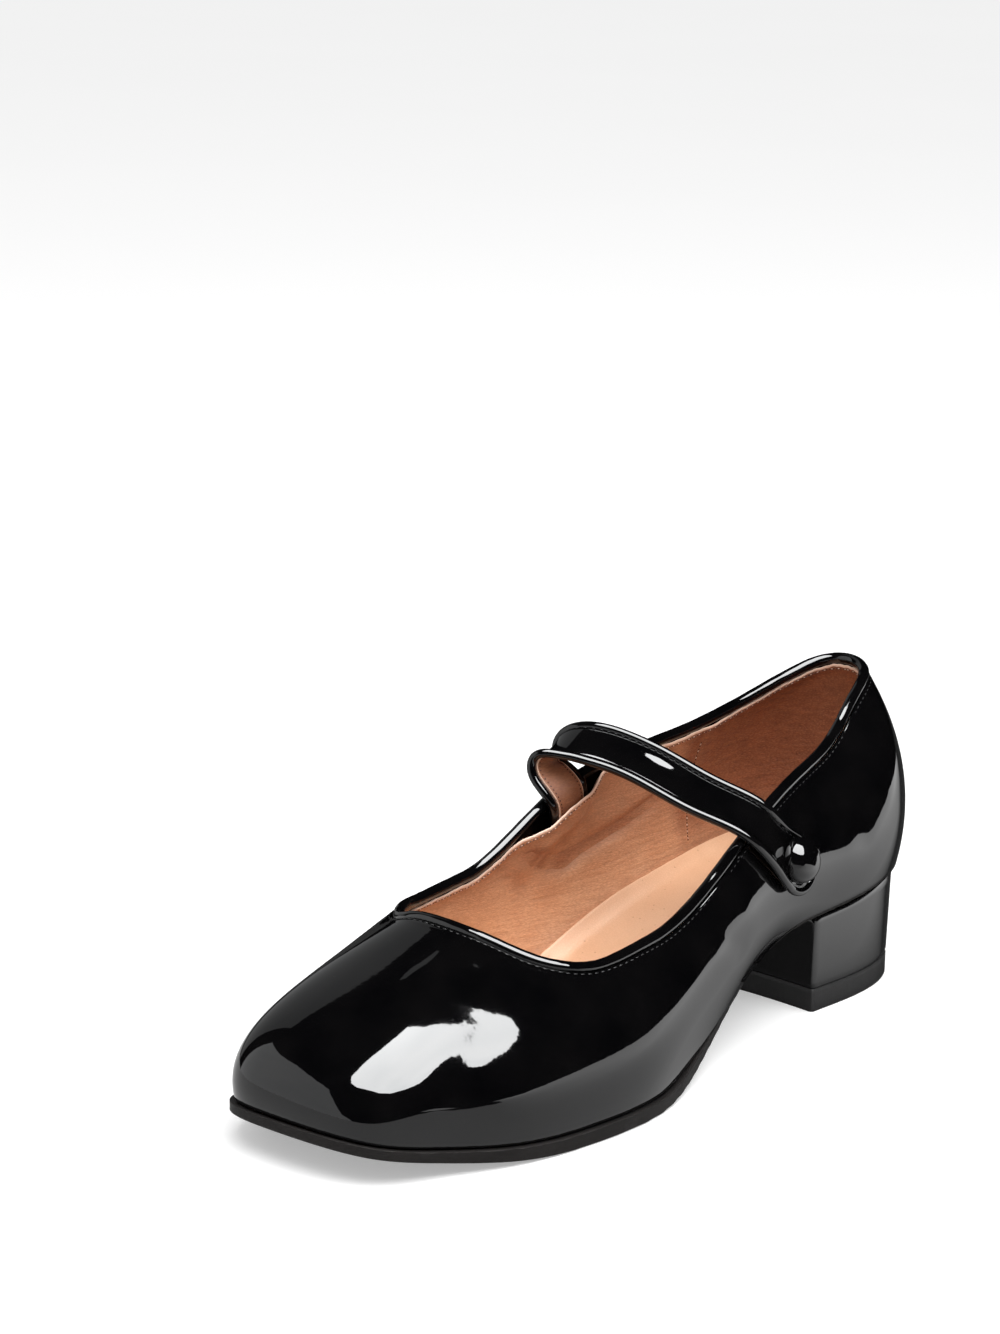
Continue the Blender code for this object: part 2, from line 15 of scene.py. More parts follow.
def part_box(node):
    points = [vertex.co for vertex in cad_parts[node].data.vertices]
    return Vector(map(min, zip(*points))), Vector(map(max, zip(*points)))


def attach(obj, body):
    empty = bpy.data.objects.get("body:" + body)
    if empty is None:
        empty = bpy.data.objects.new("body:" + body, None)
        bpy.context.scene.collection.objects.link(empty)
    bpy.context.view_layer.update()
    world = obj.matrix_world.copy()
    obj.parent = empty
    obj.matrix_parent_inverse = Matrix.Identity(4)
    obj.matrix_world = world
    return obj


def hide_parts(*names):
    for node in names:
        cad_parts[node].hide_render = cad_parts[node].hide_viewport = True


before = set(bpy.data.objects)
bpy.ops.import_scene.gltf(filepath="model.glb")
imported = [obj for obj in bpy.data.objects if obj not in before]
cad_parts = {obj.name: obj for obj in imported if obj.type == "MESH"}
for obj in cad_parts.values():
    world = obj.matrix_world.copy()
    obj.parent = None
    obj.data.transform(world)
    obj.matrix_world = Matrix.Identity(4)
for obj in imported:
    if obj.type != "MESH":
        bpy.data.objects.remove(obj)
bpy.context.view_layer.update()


# --- Upper ---------------------------------------------------------------------------------
# One piece of black patent leather, about 1.2 mm thick, pulled over the last, turned in under
# the insole and closed up the back of the heel. The collar's bead is sewn along its top edge.

MM = 0.001

# Driving sizes of the last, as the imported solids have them.
LENGTH = 0.248
BALL_WIDTH = 0.084
INSTEP = 0.056
HEEL_HEIGHT = 0.034
TOE_SPRING = 0.0083
GAP = 0.0003

# Bottom of the last: seat, shank, tread and toe, as distances forward of the heel back.
SEAT_END = 0.060
TREAD_START = 0.152
TREAD_END = 0.184
SEAT_SLOPE = 0.080
ARCH_RISE = 0.0050
ARCH_WIDTH = 0.062
SOLE_EDGE = 0.0042
SEAT_EDGE = 0.0012

# Sections of the last round the feather line, from the heel back along the lateral side to
# the toe and home along the medial side.
#   forward, top_forward            per cent of LENGTH, from the heel back
#   side, top_side                  per cent of BALL_WIDTH, lateral positive
#   wall                            topline above the feather line, per cent of INSTEP
#   low_rise, low_swell             lower handle: per cent of the wall, per cent of BALL_WIDTH
#   reach, drop, high_swell         upper handle: per cent of the way from topline to feather,
#                                   per cent of the wall, per cent of BALL_WIDTH
Section = namedtuple(
    "Section",
    "place forward side top_forward top_side wall low_rise low_swell reach drop high_swell",
)
SECTIONS = [
    Section("heel_back", 0.0, 0.0, 2.6, -0.6, 101, 30, 5.0, 100, 35, 3.2),
    Section("heel_round_lateral", 3.2, 23.6, 4.8, 12.4, 100, 30, 4.8, 100, 35, 3.4),
    Section("heel_side_lateral", 11.3, 33.3, 10.1, 18.8, 94, 30, 4.8, 100, 35, 3.6),
    Section("seat_lateral", 21.0, 33.9, 17.5, 23.4, 79, 30, 5.4, 100, 35, 5.0),
    Section("shank_lateral", 31.5, 33.7, 28.2, 29.3, 75, 30, 7.1, 100, 35, 6.8),
    Section("waist_lateral", 41.5, 38.6, 39.1, 36.0, 76, 32, 6.0, 80, 32, 6.0),
    Section("joint_lateral", 51.6, 45.4, 49.2, 40.0, 73, 34, 4.8, 80, 30, 4.8),
    Section("ball_lateral", 62.5, 53.1, 58.5, 42.0, 70, 36, 3.6, 75, 26, 2.4),
    Section("tread_lateral", 72.6, 52.9, 65.2, 41.0, 67, 45, 3.0, 60, 20, 1.8),
    Section("vamp_lateral", 82.7, 47.4, 70.0, 36.5, 67, 50, 3.0, 60, 25, 1.2),
    Section("toe_side_lateral", 91.1, 37.5, 73.0, 27.6, 67, 50, 3.0, 60, 30, 0.6),
    Section("toe_corner_lateral", 97.2, 28.1, 74.6, 17.4, 67, 50, 3.0, 61, 35, 0.6),
    Section("toe_lateral", 99.6, 9.5, 75.5, 6.0, 68, 50, 3.6, 60, 38, 0.6),
    Section("toe_medial", 100.0, -8.3, 75.8, -6.0, 69, 50, 4.8, 60, 38, 1.8),
    Section("toe_corner_medial", 99.0, -25.8, 75.6, -17.3, 69, 50, 5.4, 61, 35, 2.4),
    Section("toe_side_medial", 94.0, -37.2, 74.4, -27.4, 69, 50, 4.8, 60, 30, 1.8),
    Section("vamp_medial", 85.5, -42.3, 71.6, -35.1, 73, 50, 3.6, 60, 25, 1.8),
    Section("tread_medial", 74.6, -45.8, 67.5, -38.1, 75, 45, 3.0, 60, 20, 1.8),
    Section("ball_medial", 63.7, -41.0, 61.5, -37.0, 78, 36, 4.8, 75, 26, 3.6),
    Section("arch_medial", 52.4, -32.5, 52.4, -34.5, 83, 34, 8.0, 60, 30, 6.0),
    Section("waist_medial", 42.3, -28.6, 43.1, -32.2, 84, 32, 9.0, 60, 32, 7.0),
    Section("shank_medial", 31.5, -29.0, 32.3, -30.0, 80, 30, 8.0, 80, 35, 6.5),
    Section("seat_medial", 20.2, -32.0, 20.2, -26.8, 82, 30, 5.4, 100, 35, 4.2),
    Section("heel_side_medial", 10.5, -32.0, 10.1, -20.2, 93, 30, 4.8, 100, 35, 3.6),
    Section("heel_round_medial", 3.2, -23.0, 4.6, -13.2, 99, 30, 4.8, 100, 35, 3.4),
]


def unit(vectors):
    return vectors / np.linalg.norm(vectors, axis=-1, keepdims=True)


def smooth_step(start, end, value):
    share = np.clip((value - start) / (end - start), 0.0, 1.0)
    return share * share * (3.0 - 2.0 * share)


def hump(distance, width):
    """One at no distance, falling smoothly to nothing over about twice the width."""
    return np.exp(-((distance / width) ** 2))


def spline(knots, values, at):
    """Cubic spline through values at the knots, closed if there is one more knot, the lap."""
    count = len(values)
    steps = np.diff(knots)
    closed = len(steps) == count
    system = np.eye(count)
    right = np.zeros(values.shape)
    for row in range(count) if closed else range(1, count - 1):
        before = steps[row - 1]
        after = steps[row]
        ahead = (row + 1) % count
        system[row, row - 1] = before
        system[row, row] = 2.0 * (before + after)
        system[row, ahead] = after
        rise = (values[ahead] - values[row]) / after
        fall = (values[row] - values[row - 1]) / before
        right[row] = 6.0 * (rise - fall)
    bend = np.linalg.solve(system, right)
    if closed:
        at = np.mod(at, knots[-1])
    left = np.clip(np.searchsorted(knots, at, side="right") - 1, 0, len(steps) - 1)
    ahead = (left + 1) % count
    step = steps[left][:, None]
    along = (at - knots[left])[:, None] / step
    back = 1.0 - along
    curve = (back**3 - back) * bend[left] + (along**3 - along) * bend[ahead]
    return back * values[left] + along * values[ahead] + curve * step**2 / 6.0


def run_along(points):
    """Length along a line from its first point to each."""
    steps = np.linalg.norm(np.diff(points, axis=0), axis=1)
    return np.concatenate([[0.0], np.cumsum(steps)])


def tread_height(forward):
    """Height of the lateral edge of the underside above the floor."""
    seat = HEEL_HEIGHT - SEAT_SLOPE * forward
    seat_low = HEEL_HEIGHT - SEAT_SLOPE * SEAT_END
    span = TREAD_START - SEAT_END
    share = np.clip((forward - SEAT_END) / span, 0.0, 1.0)
    shank = seat_low * (1.0 - 3.0 * share**2 + 2.0 * share**3)
    shank = shank - SEAT_SLOPE * span * share * (1.0 - share) ** 2
    lift = np.clip((forward - TREAD_END) / (LENGTH - TREAD_END), 0.0, None)
    spring = TOE_SPRING * lift**2
    return np.where(forward < SEAT_END, seat, np.where(forward < TREAD_START, shank, spring))


def under_height(forward, side):
    """Height of the underside of the outsole, which rises towards the medial waist."""
    share = np.clip((forward - SEAT_END) / (TREAD_START - SEAT_END), 0.0, 1.0)
    arch = ARCH_RISE * np.sin(math.pi * share) ** 2 * (0.5 - side / ARCH_WIDTH)
    return tread_height(forward) + arch


def feather_height(forward, side):
    """Height of the top of the outsole, where upper and sole meet."""
    thickness = SEAT_EDGE + (SOLE_EDGE - SEAT_EDGE) * smooth_step(SEAT_END, TREAD_START, forward)
    return under_height(forward, side) + thickness


# The columns of SECTIONS in metres and shares: the feather line, then the handles.
SCALES = (LENGTH, BALL_WIDTH, LENGTH, BALL_WIDTH, INSTEP, 1.0, BALL_WIDTH, 1.0, 1.0, BALL_WIDTH)
OUTLINE, HANDLES = np.split(np.array([row[1:] for row in SECTIONS]) * SCALES / 100.0, [2], axis=1)
KNOTS = run_along(np.vstack([OUTLINE, OUTLINE[:1]]))
GIRTH = KNOTS[-1]
TINY_STEP = 0.0001


def heading(line_of, at, step=TINY_STEP):
    """Direction of a line at each place along it."""
    return unit(line_of(at + step) - line_of(at - step))


def feather(places):
    """Feather line in plan and its outward direction, as forward and side."""
    along = heading(lambda at: spline(KNOTS, OUTLINE, at), places)
    return spline(KNOTS, OUTLINE, places), np.stack([-along[:, 1], along[:, 0]], axis=1)


def last_surface(places, share):
    """Points of the last at the places and the share of the way up, as forward, side, up."""
    plan, outward = feather(places)
    handle = spline(KNOTS, HANDLES, places)
    top_plan = handle[:, :2]
    wall, low_rise, low_swell, reach, drop, high_swell = handle[:, 2:].T[:, :, None]
    base = feather_height(*plan.T)[:, None] + GAP
    high_plan = top_plan + (plan - top_plan) * reach + outward * high_swell
    rest = 1.0 - share
    return (
        rest**3 * np.hstack([plan, base])
        + 3.0 * rest**2 * share * np.hstack([plan + outward * low_swell, base + wall * low_rise])
        + 3.0 * rest * share**2 * np.hstack([high_plan, base + wall * (1.0 - drop)])
        + share**3 * np.hstack([top_plan, base + wall])
    )


def turned(points):
    """From forward, side, up to the frame's directions."""
    points = np.asarray(points)
    return np.stack([points[..., 1], -points[..., 0], points[..., 2]], axis=-1)


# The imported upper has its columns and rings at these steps, so its box gives the offset.
CAD_COLUMNS = 3
CAD_RINGS = 12
cad_steps = np.diff(KNOTS)[:, None] * np.arange(CAD_COLUMNS) / CAD_COLUMNS
cad_places = (KNOTS[:-1, None] + cad_steps).ravel()
cad_rings = [turned(last_surface(cad_places, ring / CAD_RINGS)) for ring in range(CAD_RINGS + 1)]
SHIFT = np.array(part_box("upper")[0]) - np.vstack(cad_rings).min(axis=0)
SHIFT[2] = 0.0
SHARE_STEP = 0.002


def placed(points):
    """From forward, side, up of the last to the place in the frame."""
    return turned(points) + SHIFT


def wall_frame(places, share):
    """Point of the last's wall, and its directions round the shoe, up the wall and outwards."""
    along = heading(lambda at: turned(last_surface(at, share)), places)
    above = last_surface(places, share + SHARE_STEP)
    rise = turned(above - last_surface(places, share - SHARE_STEP))
    rise = unit(rise - along * np.sum(rise * along, axis=1, keepdims=True))
    return placed(last_surface(places, share)), along, rise, np.cross(rise, along)


def wall_share(places, drop, fall):
    """Share of the way up at a drop below the rim, then down by a share of what is left."""
    rim = last_surface(places, 1.0)
    under = last_surface(places, 1.0 - SHARE_STEP)
    speed = np.linalg.norm(rim - under, axis=1) / SHARE_STEP
    return ((1.0 - drop / speed) * (1.0 - fall))[:, None]


def section_rows(*runs):
    """Rows of the section of a wall, from runs of like rows.

    A row says how many mm it is below the rim, then what share of the rest down to the
    feather, and how many mm under the surface of the last.
    """
    return np.vstack([np.column_stack(np.broadcast_arrays(*run)) for run in runs]) * (MM, 1.0, MM)


def row_at(rows, share):
    """Drop, fall and inset at shares of the way through the rows."""
    at = share * (len(rows) - 1)
    return [np.interp(at, np.arange(len(rows)), column) for column in rows.T]


# Soft creases, in the side view: a ridge where height is above 0 and a trough where it is
# below. Height and width are in mm. The path goes forward in per cent of LENGTH, and up in per
# cent of INSTEP above the floor.
Crease = namedtuple("Crease", "side height width path")


def creased(points, creases):
    """How far the creases lift each point of a wall."""
    lifted = np.zeros(len(points))
    seen = np.stack([SHIFT[1] - points[:, 1], points[:, 2]], axis=1)
    for crease in creases:
        path = np.array(crease.path) / 100.0 * (LENGTH, INSTEP)
        nearest = np.full(len(points), 1.0)
        for start, end in zip(path, path[1:]):
            run = end - start
            share = np.clip((seen - start) @ run / (run @ run), 0.0, 1.0)
            reach = np.linalg.norm(seen - start - share[:, None] * run, axis=1)
            nearest = np.minimum(nearest, reach)
        on_side = points[:, 0] * crease.side > 0.0
        lifted += crease.height * MM * hump(nearest, crease.width * MM) * on_side
    return lifted


WELD = 0.000002
SHARP_ANGLE = math.radians(38.0)


def skin(columns, rows, size, point_of):
    """Grid whose corners a function of two shares puts in place, welded and closed up.

    size is its length and girth, and scales its map to metres.
    """
    shape = bmesh.new()
    wrap = shape.loops.layers.uv.new("wrap")
    bmesh.ops.create_grid(shape, x_segments=columns, y_segments=rows, size=0.5, calc_uvs=True)
    shares = np.array([corner.co for corner in shape.verts]) + 0.5
    for corner, point in zip(shape.verts, point_of(shares[:, 0], shares[:, 1])):
        corner.co = point
    for face in shape.faces:
        for loop in face.loops:
            loop[wrap].uv = (loop[wrap].uv[0] * size[0], loop[wrap].uv[1] * size[1])
    bmesh.ops.remove_doubles(shape, verts=shape.verts, dist=WELD)
    rims = [edge for edge in shape.edges if edge.is_boundary]
    if rims:
        bmesh.ops.holes_fill(shape, edges=rims, sides=0)
    bmesh.ops.recalc_face_normals(shape, faces=shape.faces)
    return shape


def in_scene(name, data):
    made = bpy.data.objects.new(name, data)
    bpy.context.scene.collection.objects.link(made)
    return made


def mesh_object(name, shape, material):
    """Object at the origin from a bmesh."""
    mesh = bpy.data.meshes.new(name)
    shape.to_mesh(mesh)
    shape.free()
    mesh.materials.append(material)
    return in_scene(name, mesh)


def piece(name, shape, material, node=None):
    """Piece of the shoe, shaded smooth up to its sharp edges, which may stand for a CAD node."""
    made = mesh_object(name, shape, material)
    made.data.shade_smooth()
    made.data.set_sharp_from_angle(angle=SHARP_ANGLE)
    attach(made, "root")
    if node:
        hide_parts(node)
    return made


class Reading:
    """A number or colour that changes over a surface; arithmetic on it adds Math nodes."""

    def __init__(self, finish, socket):
        self.finish = finish
        self.socket = socket

    def math(self, operation, *values):
        return self.finish.add("ShaderNodeMath", {"operation": operation}, dict(enumerate(values)))

    def __add__(self, other):
        return self.math("ADD", self, other)

    def __radd__(self, other):
        return self.math("ADD", other, self)

    def __sub__(self, other):
        return self.math("SUBTRACT", self, other)

    def __rsub__(self, other):
        return self.math("SUBTRACT", other, self)

    def __mul__(self, other):
        return self.math("MULTIPLY", self, other)

    def __rmul__(self, other):
        return self.math("MULTIPLY", other, self)

    def between(self, low, high):
        """From 0 at low to 1 at high, held there outside."""
        settings = {"operation": "MULTIPLY_ADD", "use_clamp": True}
        inputs = {0: self, 1: 1.0 / (high - low), 2: -low / (high - low)}
        return self.finish.add("ShaderNodeMath", settings, inputs)


class Finish:
    """A material, its nodes added one call at a time."""

    def __init__(self, name):
        self.material = bpy.data.materials.new(name)
        self.material.use_nodes = True
        self.tree = self.material.node_tree
        self.shader = self.tree.nodes["Principled BSDF"]
        self.place = self.add("ShaderNodeTexCoord", {}, {}, "Object")

    def give(self, socket, value):
        if isinstance(value, Reading):
            self.tree.links.new(value.socket, socket)
        elif hasattr(socket.default_value, "__len__") and len(socket.default_value) == 4:
            socket.default_value = (*value[:3], 1.0)
        else:
            socket.default_value = value

    def add(self, kind, settings, inputs, output=0):
        """Node of a kind: its settings first, then its sockets given values or links."""
        node = self.tree.nodes.new(kind)
        for setting, value in settings.items():
            setattr(node, setting, value)
        for socket, value in inputs.items():
            self.give(node.inputs[socket], value)
        return Reading(self, node.outputs[output])

    def along(self, vector, axis):
        return self.add("ShaderNodeSeparateXYZ", {}, {0: vector}, axis)

    def stretched(self, scale, turn=0.0):
        inputs = {"Vector": self.place, "Scale": scale, "Rotation": Euler((0.0, 0.0, turn))}
        return self.add("ShaderNodeMapping", {}, inputs)

    def noise(self, size, detail=2.0, roughness=0.5, over=None):
        """Cloudy noise about 0.5, with humps of about the size given in mm."""
        inputs = {"Vector": over or self.place, "Scale": 1.0 / (size * MM)}
        inputs.update(Detail=detail, Roughness=roughness)
        return self.add("ShaderNodeTexNoise", {}, inputs)

    def cells(self, size, feature="F1", over=None):
        """Distance to the middle, or to the edge, of irregular cells of the size in mm."""
        inputs = {"Vector": over or self.place, "Scale": 1.0 / (size * MM)}
        return self.add("ShaderNodeTexVoronoi", {"feature": feature}, inputs)

    def mixed(self, share, low, high):
        """Colour between two others."""
        return self.add("ShaderNodeMix", {"data_type": "RGBA"}, {0: share, 6: low, 7: high}, 2)

    def bumped(self, height, depth):
        """Normal of a surface whose height, from 0 to 1, stands for a depth in mm."""
        return self.add("ShaderNodeBump", {}, {"Height": height, "Distance": depth * MM}, "Normal")

    def done(self, **sockets):
        for name, value in sockets.items():
            self.give(self.shader.inputs[name.replace("_", " ")], value)
        return self.material


PEEL_DEPTH = 0.006
PATENT_BLACK = (0.0013, 0.0013, 0.0016)
PATENT_GREY = (0.0030, 0.0028, 0.0030)


def patent_leather(name, peel_depth):
    """Black lacquer over leather: a hard gloss with a fine orange peel."""
    patent = Finish(name)
    cloud = patent.noise(14.0, 3.0)
    peel = patent.noise(2.2, 1.0) + patent.noise(5.0, 1.0) * 1.5
    dust = patent.noise(0.5, 1.0).between(0.70, 0.80)
    return patent.done(
        Base_Color=patent.mixed(cloud.between(0.3, 0.7), PATENT_BLACK, PATENT_GREY),
        Roughness=0.020 + 0.030 * cloud + 0.05 * dust,
        Normal=patent.bumped(peel, peel_depth),
        IOR=1.5,
    )


UPPER_COLUMNS = 450
UPPER_THICK = 1.15 * MM
FOLD_DROP = 1.3 * MM
FOLD_PROUD = 0.03 * MM
FOLD_WIDTH = 0.6 * MM
STITCH_DROP = 0.60 * MM
STITCH_SINK = 0.05 * MM
STITCH_WIDTH = 0.45 * MM
SEAM_SINK = 0.25 * MM
SEAM_HALF = 0.5 * MM
DENT = np.array((0.0110, -0.0675, 0.0466))
DENT_PROUD = 0.52 * MM
DENT_WIDTH = 3.0 * MM
UPPER_CREASES = [
    Crease(1, 0.30, 8.5, [(80.6, 72), (80.2, 60), (84.5, 50)]),
    Crease(-1, -0.35, 3.5, [(60, 100), (56, 78), (55, 60)]),
    Crease(-1, 0.30, 4.0, [(51, 104), (50, 80)]),
    Crease(1, -0.30, 4.0, [(52, 96), (48, 76), (43, 62)]),
    Crease(1, 0.25, 5.0, [(46, 100), (40, 74)]),
    Crease(1, -0.30, 5.0, [(20, 138), (17, 112), (16, 90)]),
    Crease(1, 0.25, 6.0, [(12, 140), (10, 110)]),
    Crease(-1, -0.30, 5.0, [(22, 136), (19, 108)]),
]

# Down the outside, round the feather, up the inside and over the rim. Rows are set by their
# distance below the rim as far as NEAR_RIM, in mm, and by the share of the rest below that.
NEAR_RIM = 4.5
THICK_MM = UPPER_THICK / MM
UPPER_ROWS = section_rows(
    (np.linspace(0.5, NEAR_RIM, 14), 0.0, 0.0),
    (NEAR_RIM, np.linspace(0.0, 0.985, 42)[1:], 0.0),
    (NEAR_RIM, (0.994, 1.0, 1.0), (0.10, 0.45, THICK_MM)),
    (NEAR_RIM, np.linspace(0.98, 0.0, 12), THICK_MM),
    ((0.5, -0.10, -0.35, -0.30, 0.0, 0.5), 0.0, (THICK_MM, 1.00, 0.80, 0.50, 0.18, 0.0)),
)


def upper_point(round_share, section_share):
    places = round_share * GIRTH
    drop, fall, inset = row_at(UPPER_ROWS, section_share)
    point, _, _, out = wall_frame(places, wall_share(places, drop, fall))
    near_rim = fall == 0.0
    lift = creased(point, UPPER_CREASES) * smooth_step(1.0, 0.85, fall)
    lift += FOLD_PROUD * hump(drop - FOLD_DROP, FOLD_WIDTH) * near_rim
    lift -= STITCH_SINK * hump(drop - STITCH_DROP, STITCH_WIDTH) * near_rim
    lift += DENT_PROUD * hump(np.linalg.norm(point - DENT, axis=1), DENT_WIDTH)
    lift -= SEAM_SINK * hump(np.minimum(places, GIRTH - places), SEAM_HALF)
    outer = inset < 0.5 * UPPER_THICK
    return point + out * (lift * outer - inset)[:, None]


patent = patent_leather("patent_black", PEEL_DEPTH)
upper_skin = skin(UPPER_COLUMNS, len(UPPER_ROWS) - 1, (GIRTH, 0.12), upper_point)
piece("upper_cover", upper_skin, patent, "upper")


# --- Collar bead ---------------------------------------------------------------------------
# A strip of the same patent folded round a cord, 3.4 mm thick, and sewn between upper and
# lining all round the collar. It meets itself on the medial side, under the strap.

BEAD_RADIUS = 1.7 * MM
BEAD_COLUMNS = 640
BEAD_SIDES = 20
CAD_WALL = 2.0 * MM


def rim_line(places, up, inset):
    """Line along the collar, up from the rim and in from the outer face, and its directions."""
    rim, along, rise, out = wall_frame(places, np.ones((len(places), 1)))
    return rim + rise * up - out * inset, along, rise, out


def tube(centre, side, face, girth_share, wide, high):
    """Points round a centre line, on an oval with a half width and a half height."""
    turn = (girth_share * 2.0 * math.pi)[:, None]
    return centre + side * np.cos(turn) * wide + face * np.sin(turn) * high


def collar_bead_point(round_share, girth_share):
    places = round_share * GIRTH
    centre, _, rise, out = rim_line(places, BEAD_RADIUS + GAP, CAD_WALL / 2.0)
    uneven = 1.0 + 0.012 * np.sin(places * 310.0) + 0.010 * np.sin(places * 767.0 + 1.0)
    radius = BEAD_RADIUS * uneven[:, None]
    return tube(centre, out, rise, girth_share, radius, radius)


bead_patent = patent_leather("bead_patent_black", 0.8 * PEEL_DEPTH)
bead_skin = skin(BEAD_COLUMNS, BEAD_SIDES, (GIRTH, 2.0 * math.pi * BEAD_RADIUS), collar_bead_point)
piece("collar_bead", bead_skin, bead_patent, "collar_piping")


# --- Collar stitches -----------------------------------------------------------------------
# One row of black thread through upper, bead and lining, just below the bead. It lies in the
# shallow groove that it has pulled into the leather.

STITCH_PITCH = 2.4 * MM
STITCH_LENGTH = 1.5 * MM
THREAD_RADIUS = 0.20 * MM
THREAD_SINK = 0.10 * MM
THREAD_SIDES = 6
THREAD_RINGS = 4
COLLAR_SHARE = 0.86
COLLAR_STITCHES = round(GIRTH / STITCH_PITCH * COLLAR_SHARE)


def stitches(name, runs, twine):
    """Grains of thread laid along a seam, half sunk in the leather.

    A run is points, directions along the seam and off the leather, a length and a radius.
    """
    shape = bmesh.new()
    for points, along, out, length, radius in runs:
        for point, run, side, face in zip(points, along, np.cross(out, along), out):
            axes = Matrix((run * length / 2.0, side * radius, face * radius)).transposed()
            place = Matrix.Translation(Vector(point)) @ axes.to_4x4()
            bmesh.ops.create_uvsphere(
                shape, u_segments=THREAD_SIDES, v_segments=THREAD_RINGS, radius=1.0, matrix=place
            )
    return piece(name, shape, twine)


def thread(name, colour, shade):
    """Twisted thread, darker in its twist."""
    twine = Finish(name)
    twist = twine.noise(0.25, 2.0)
    return twine.done(
        Base_Color=twine.mixed(twist.between(0.35, 0.65), shade, colour),
        Roughness=0.38 + 0.2 * twist,
        Normal=twine.bumped(twist, 0.05),
        Specular_IOR_Level=0.25,
    )


def even_places(line_of, count):
    """Places round the collar at equal steps along a line above or below the rim."""
    places = np.linspace(0.0, GIRTH, 4001)
    length = run_along(line_of(places))
    return np.interp((np.arange(count) + 0.5) / count * length[-1], length, places)


black_thread = thread("thread_black", (0.014, 0.014, 0.015), (0.003, 0.003, 0.003))
stitch_places = even_places(lambda places: rim_line(places, -STITCH_DROP, 0.0)[0], COLLAR_STITCHES)
points, along, _, out = rim_line(stitch_places, -STITCH_DROP, THREAD_SINK)
collar_run = (points, along, out, STITCH_LENGTH, THREAD_RADIUS)
stitches("collar_stitches", [collar_run], black_thread)


# --- Lining --------------------------------------------------------------------------------
# Brown grained leather, 0.8 mm thick, glued inside the upper. Its top edge is cut raw under
# the bead and shows pale, and it creases where the strap's end is sewn in behind it.

LINING_COLUMNS = 420
LINING_OUTER = 1.22
LINING_INNER = 2.0
LINING_CREASES = [
    Crease(-1, 0.9, 4.5, [(38, 100), (33, 101), (29, 107)]),
    Crease(-1, -1.5, 2.6, [(50, 93), (45, 82), (43, 80), (40, 85), (34, 91), (27, 100)]),
    Crease(-1, -0.35, 3.0, [(43.5, 94), (42.5, 80)]),
    Crease(-1, 0.5, 4.0, [(46, 72), (40, 76), (34, 82)]),
    Crease(-1, -0.5, 3.0, [(56, 96), (50, 74)]),
    Crease(1, 0.5, 5.0, [(40, 92), (33, 90)]),
]

# Where the strap's root presses the lining in, forward in per cent of LENGTH.
ROOT_BULGE = 5.0 * MM
ROOT_BULGE_DEEP = 6.5 * MM
ROOT_BULGE_FALL = 9.0 * MM
ROOT_BULGE_GROWS = (37.5, 42.8)
ROOT_BULGE_FADES = (53.5, 48.0)

# The lining's pieces overlap at two seams, one on each side.
SEAMS = (0.070, 0.508)
SEAM_STEP = 0.35 * MM
SEAM_EDGE = 0.5 * MM
SEAM_FLAT = 1.0 * MM
SEAM_FADE = 9.0 * MM
LINING_WALL = 0.050
CREASE_START = 1.0 * MM
CREASE_FULL = 4.0 * MM

# Up its hidden face, over the raw edge, down the inside, and closed at the foot.
LINING_FOOT = 0.97
near = np.linspace(0.9, NEAR_RIM, 12)
raw_drops = (1.6, 0.6, -0.50, -0.85, -0.75, -0.20, 0.40)
raw_insets = (1.45, 1.95, 2.20, 2.45, 2.85, 3.00, 2.95)
LINING_ROWS = section_rows(
    (NEAR_RIM, np.linspace(LINING_FOOT, 0.0, 8), LINING_OUTER),
    (raw_drops, 0.0, raw_insets),
    (near, 0.0, LINING_INNER + 0.92 * hump(near, 2.4)),
    (NEAR_RIM, np.linspace(0.0, LINING_FOOT, 40)[1:], LINING_INNER),
    (NEAR_RIM, LINING_FOOT, LINING_OUTER),
)
LINING_GIRTH = 0.11
RAW_EDGE = [row / (len(LINING_ROWS) - 1) * LINING_GIRTH for row in (9.6, 12.9)]


def root_bulge(point, drop):
    """How far the lining stands in, off the wall, where the strap's root is caught behind it."""
    forward = (SHIFT[1] - point[:, 1]) / LENGTH * 100.0
    across = smooth_step(*ROOT_BULGE_GROWS, forward) * smooth_step(*ROOT_BULGE_FADES, forward)
    down = hump(np.maximum(drop - ROOT_BULGE_DEEP, 0.0), ROOT_BULGE_FALL)
    return ROOT_BULGE * across * down * (point[:, 0] < 0.0)


def lining_at(places, drop, fall, inset):
    """Point of the lining, bulged and creased, and its directions along and off the wall."""
    point, along, _, out = wall_frame(places, wall_share(places, drop, fall))
    inner = smooth_step(LINING_OUTER * MM, LINING_INNER * MM, inset)
    fade = smooth_step(CREASE_START, CREASE_FULL, drop) * smooth_step(1.0, 0.7, fall)
    lift = creased(point, LINING_CREASES) * fade * inner
    lift += root_bulge(point, drop + fall * LINING_WALL)
    for seam in SEAMS:
        edge = smooth_step(seam - SEAM_EDGE, seam, places)
        lift += SEAM_STEP * inner * edge * smooth_step(seam + SEAM_FADE, seam + SEAM_FLAT, places)
    return point - out * (inset + lift)[:, None], along, out


def lining_point(round_share, section_share):
    places = round_share * GIRTH
    drop, fall, inset = row_at(LINING_ROWS, section_share)
    waver = 0.16 * np.sin(places * 420.0) + 0.12 * np.sin(places * 1130.0 + 2.0)
    drop = drop + waver * MM * (fall == 0.0) * smooth_step(3.0 * MM, 0.5 * MM, drop)
    return lining_at(places, drop, fall, inset)[0]


CUT_BLUR = 0.15 * MM


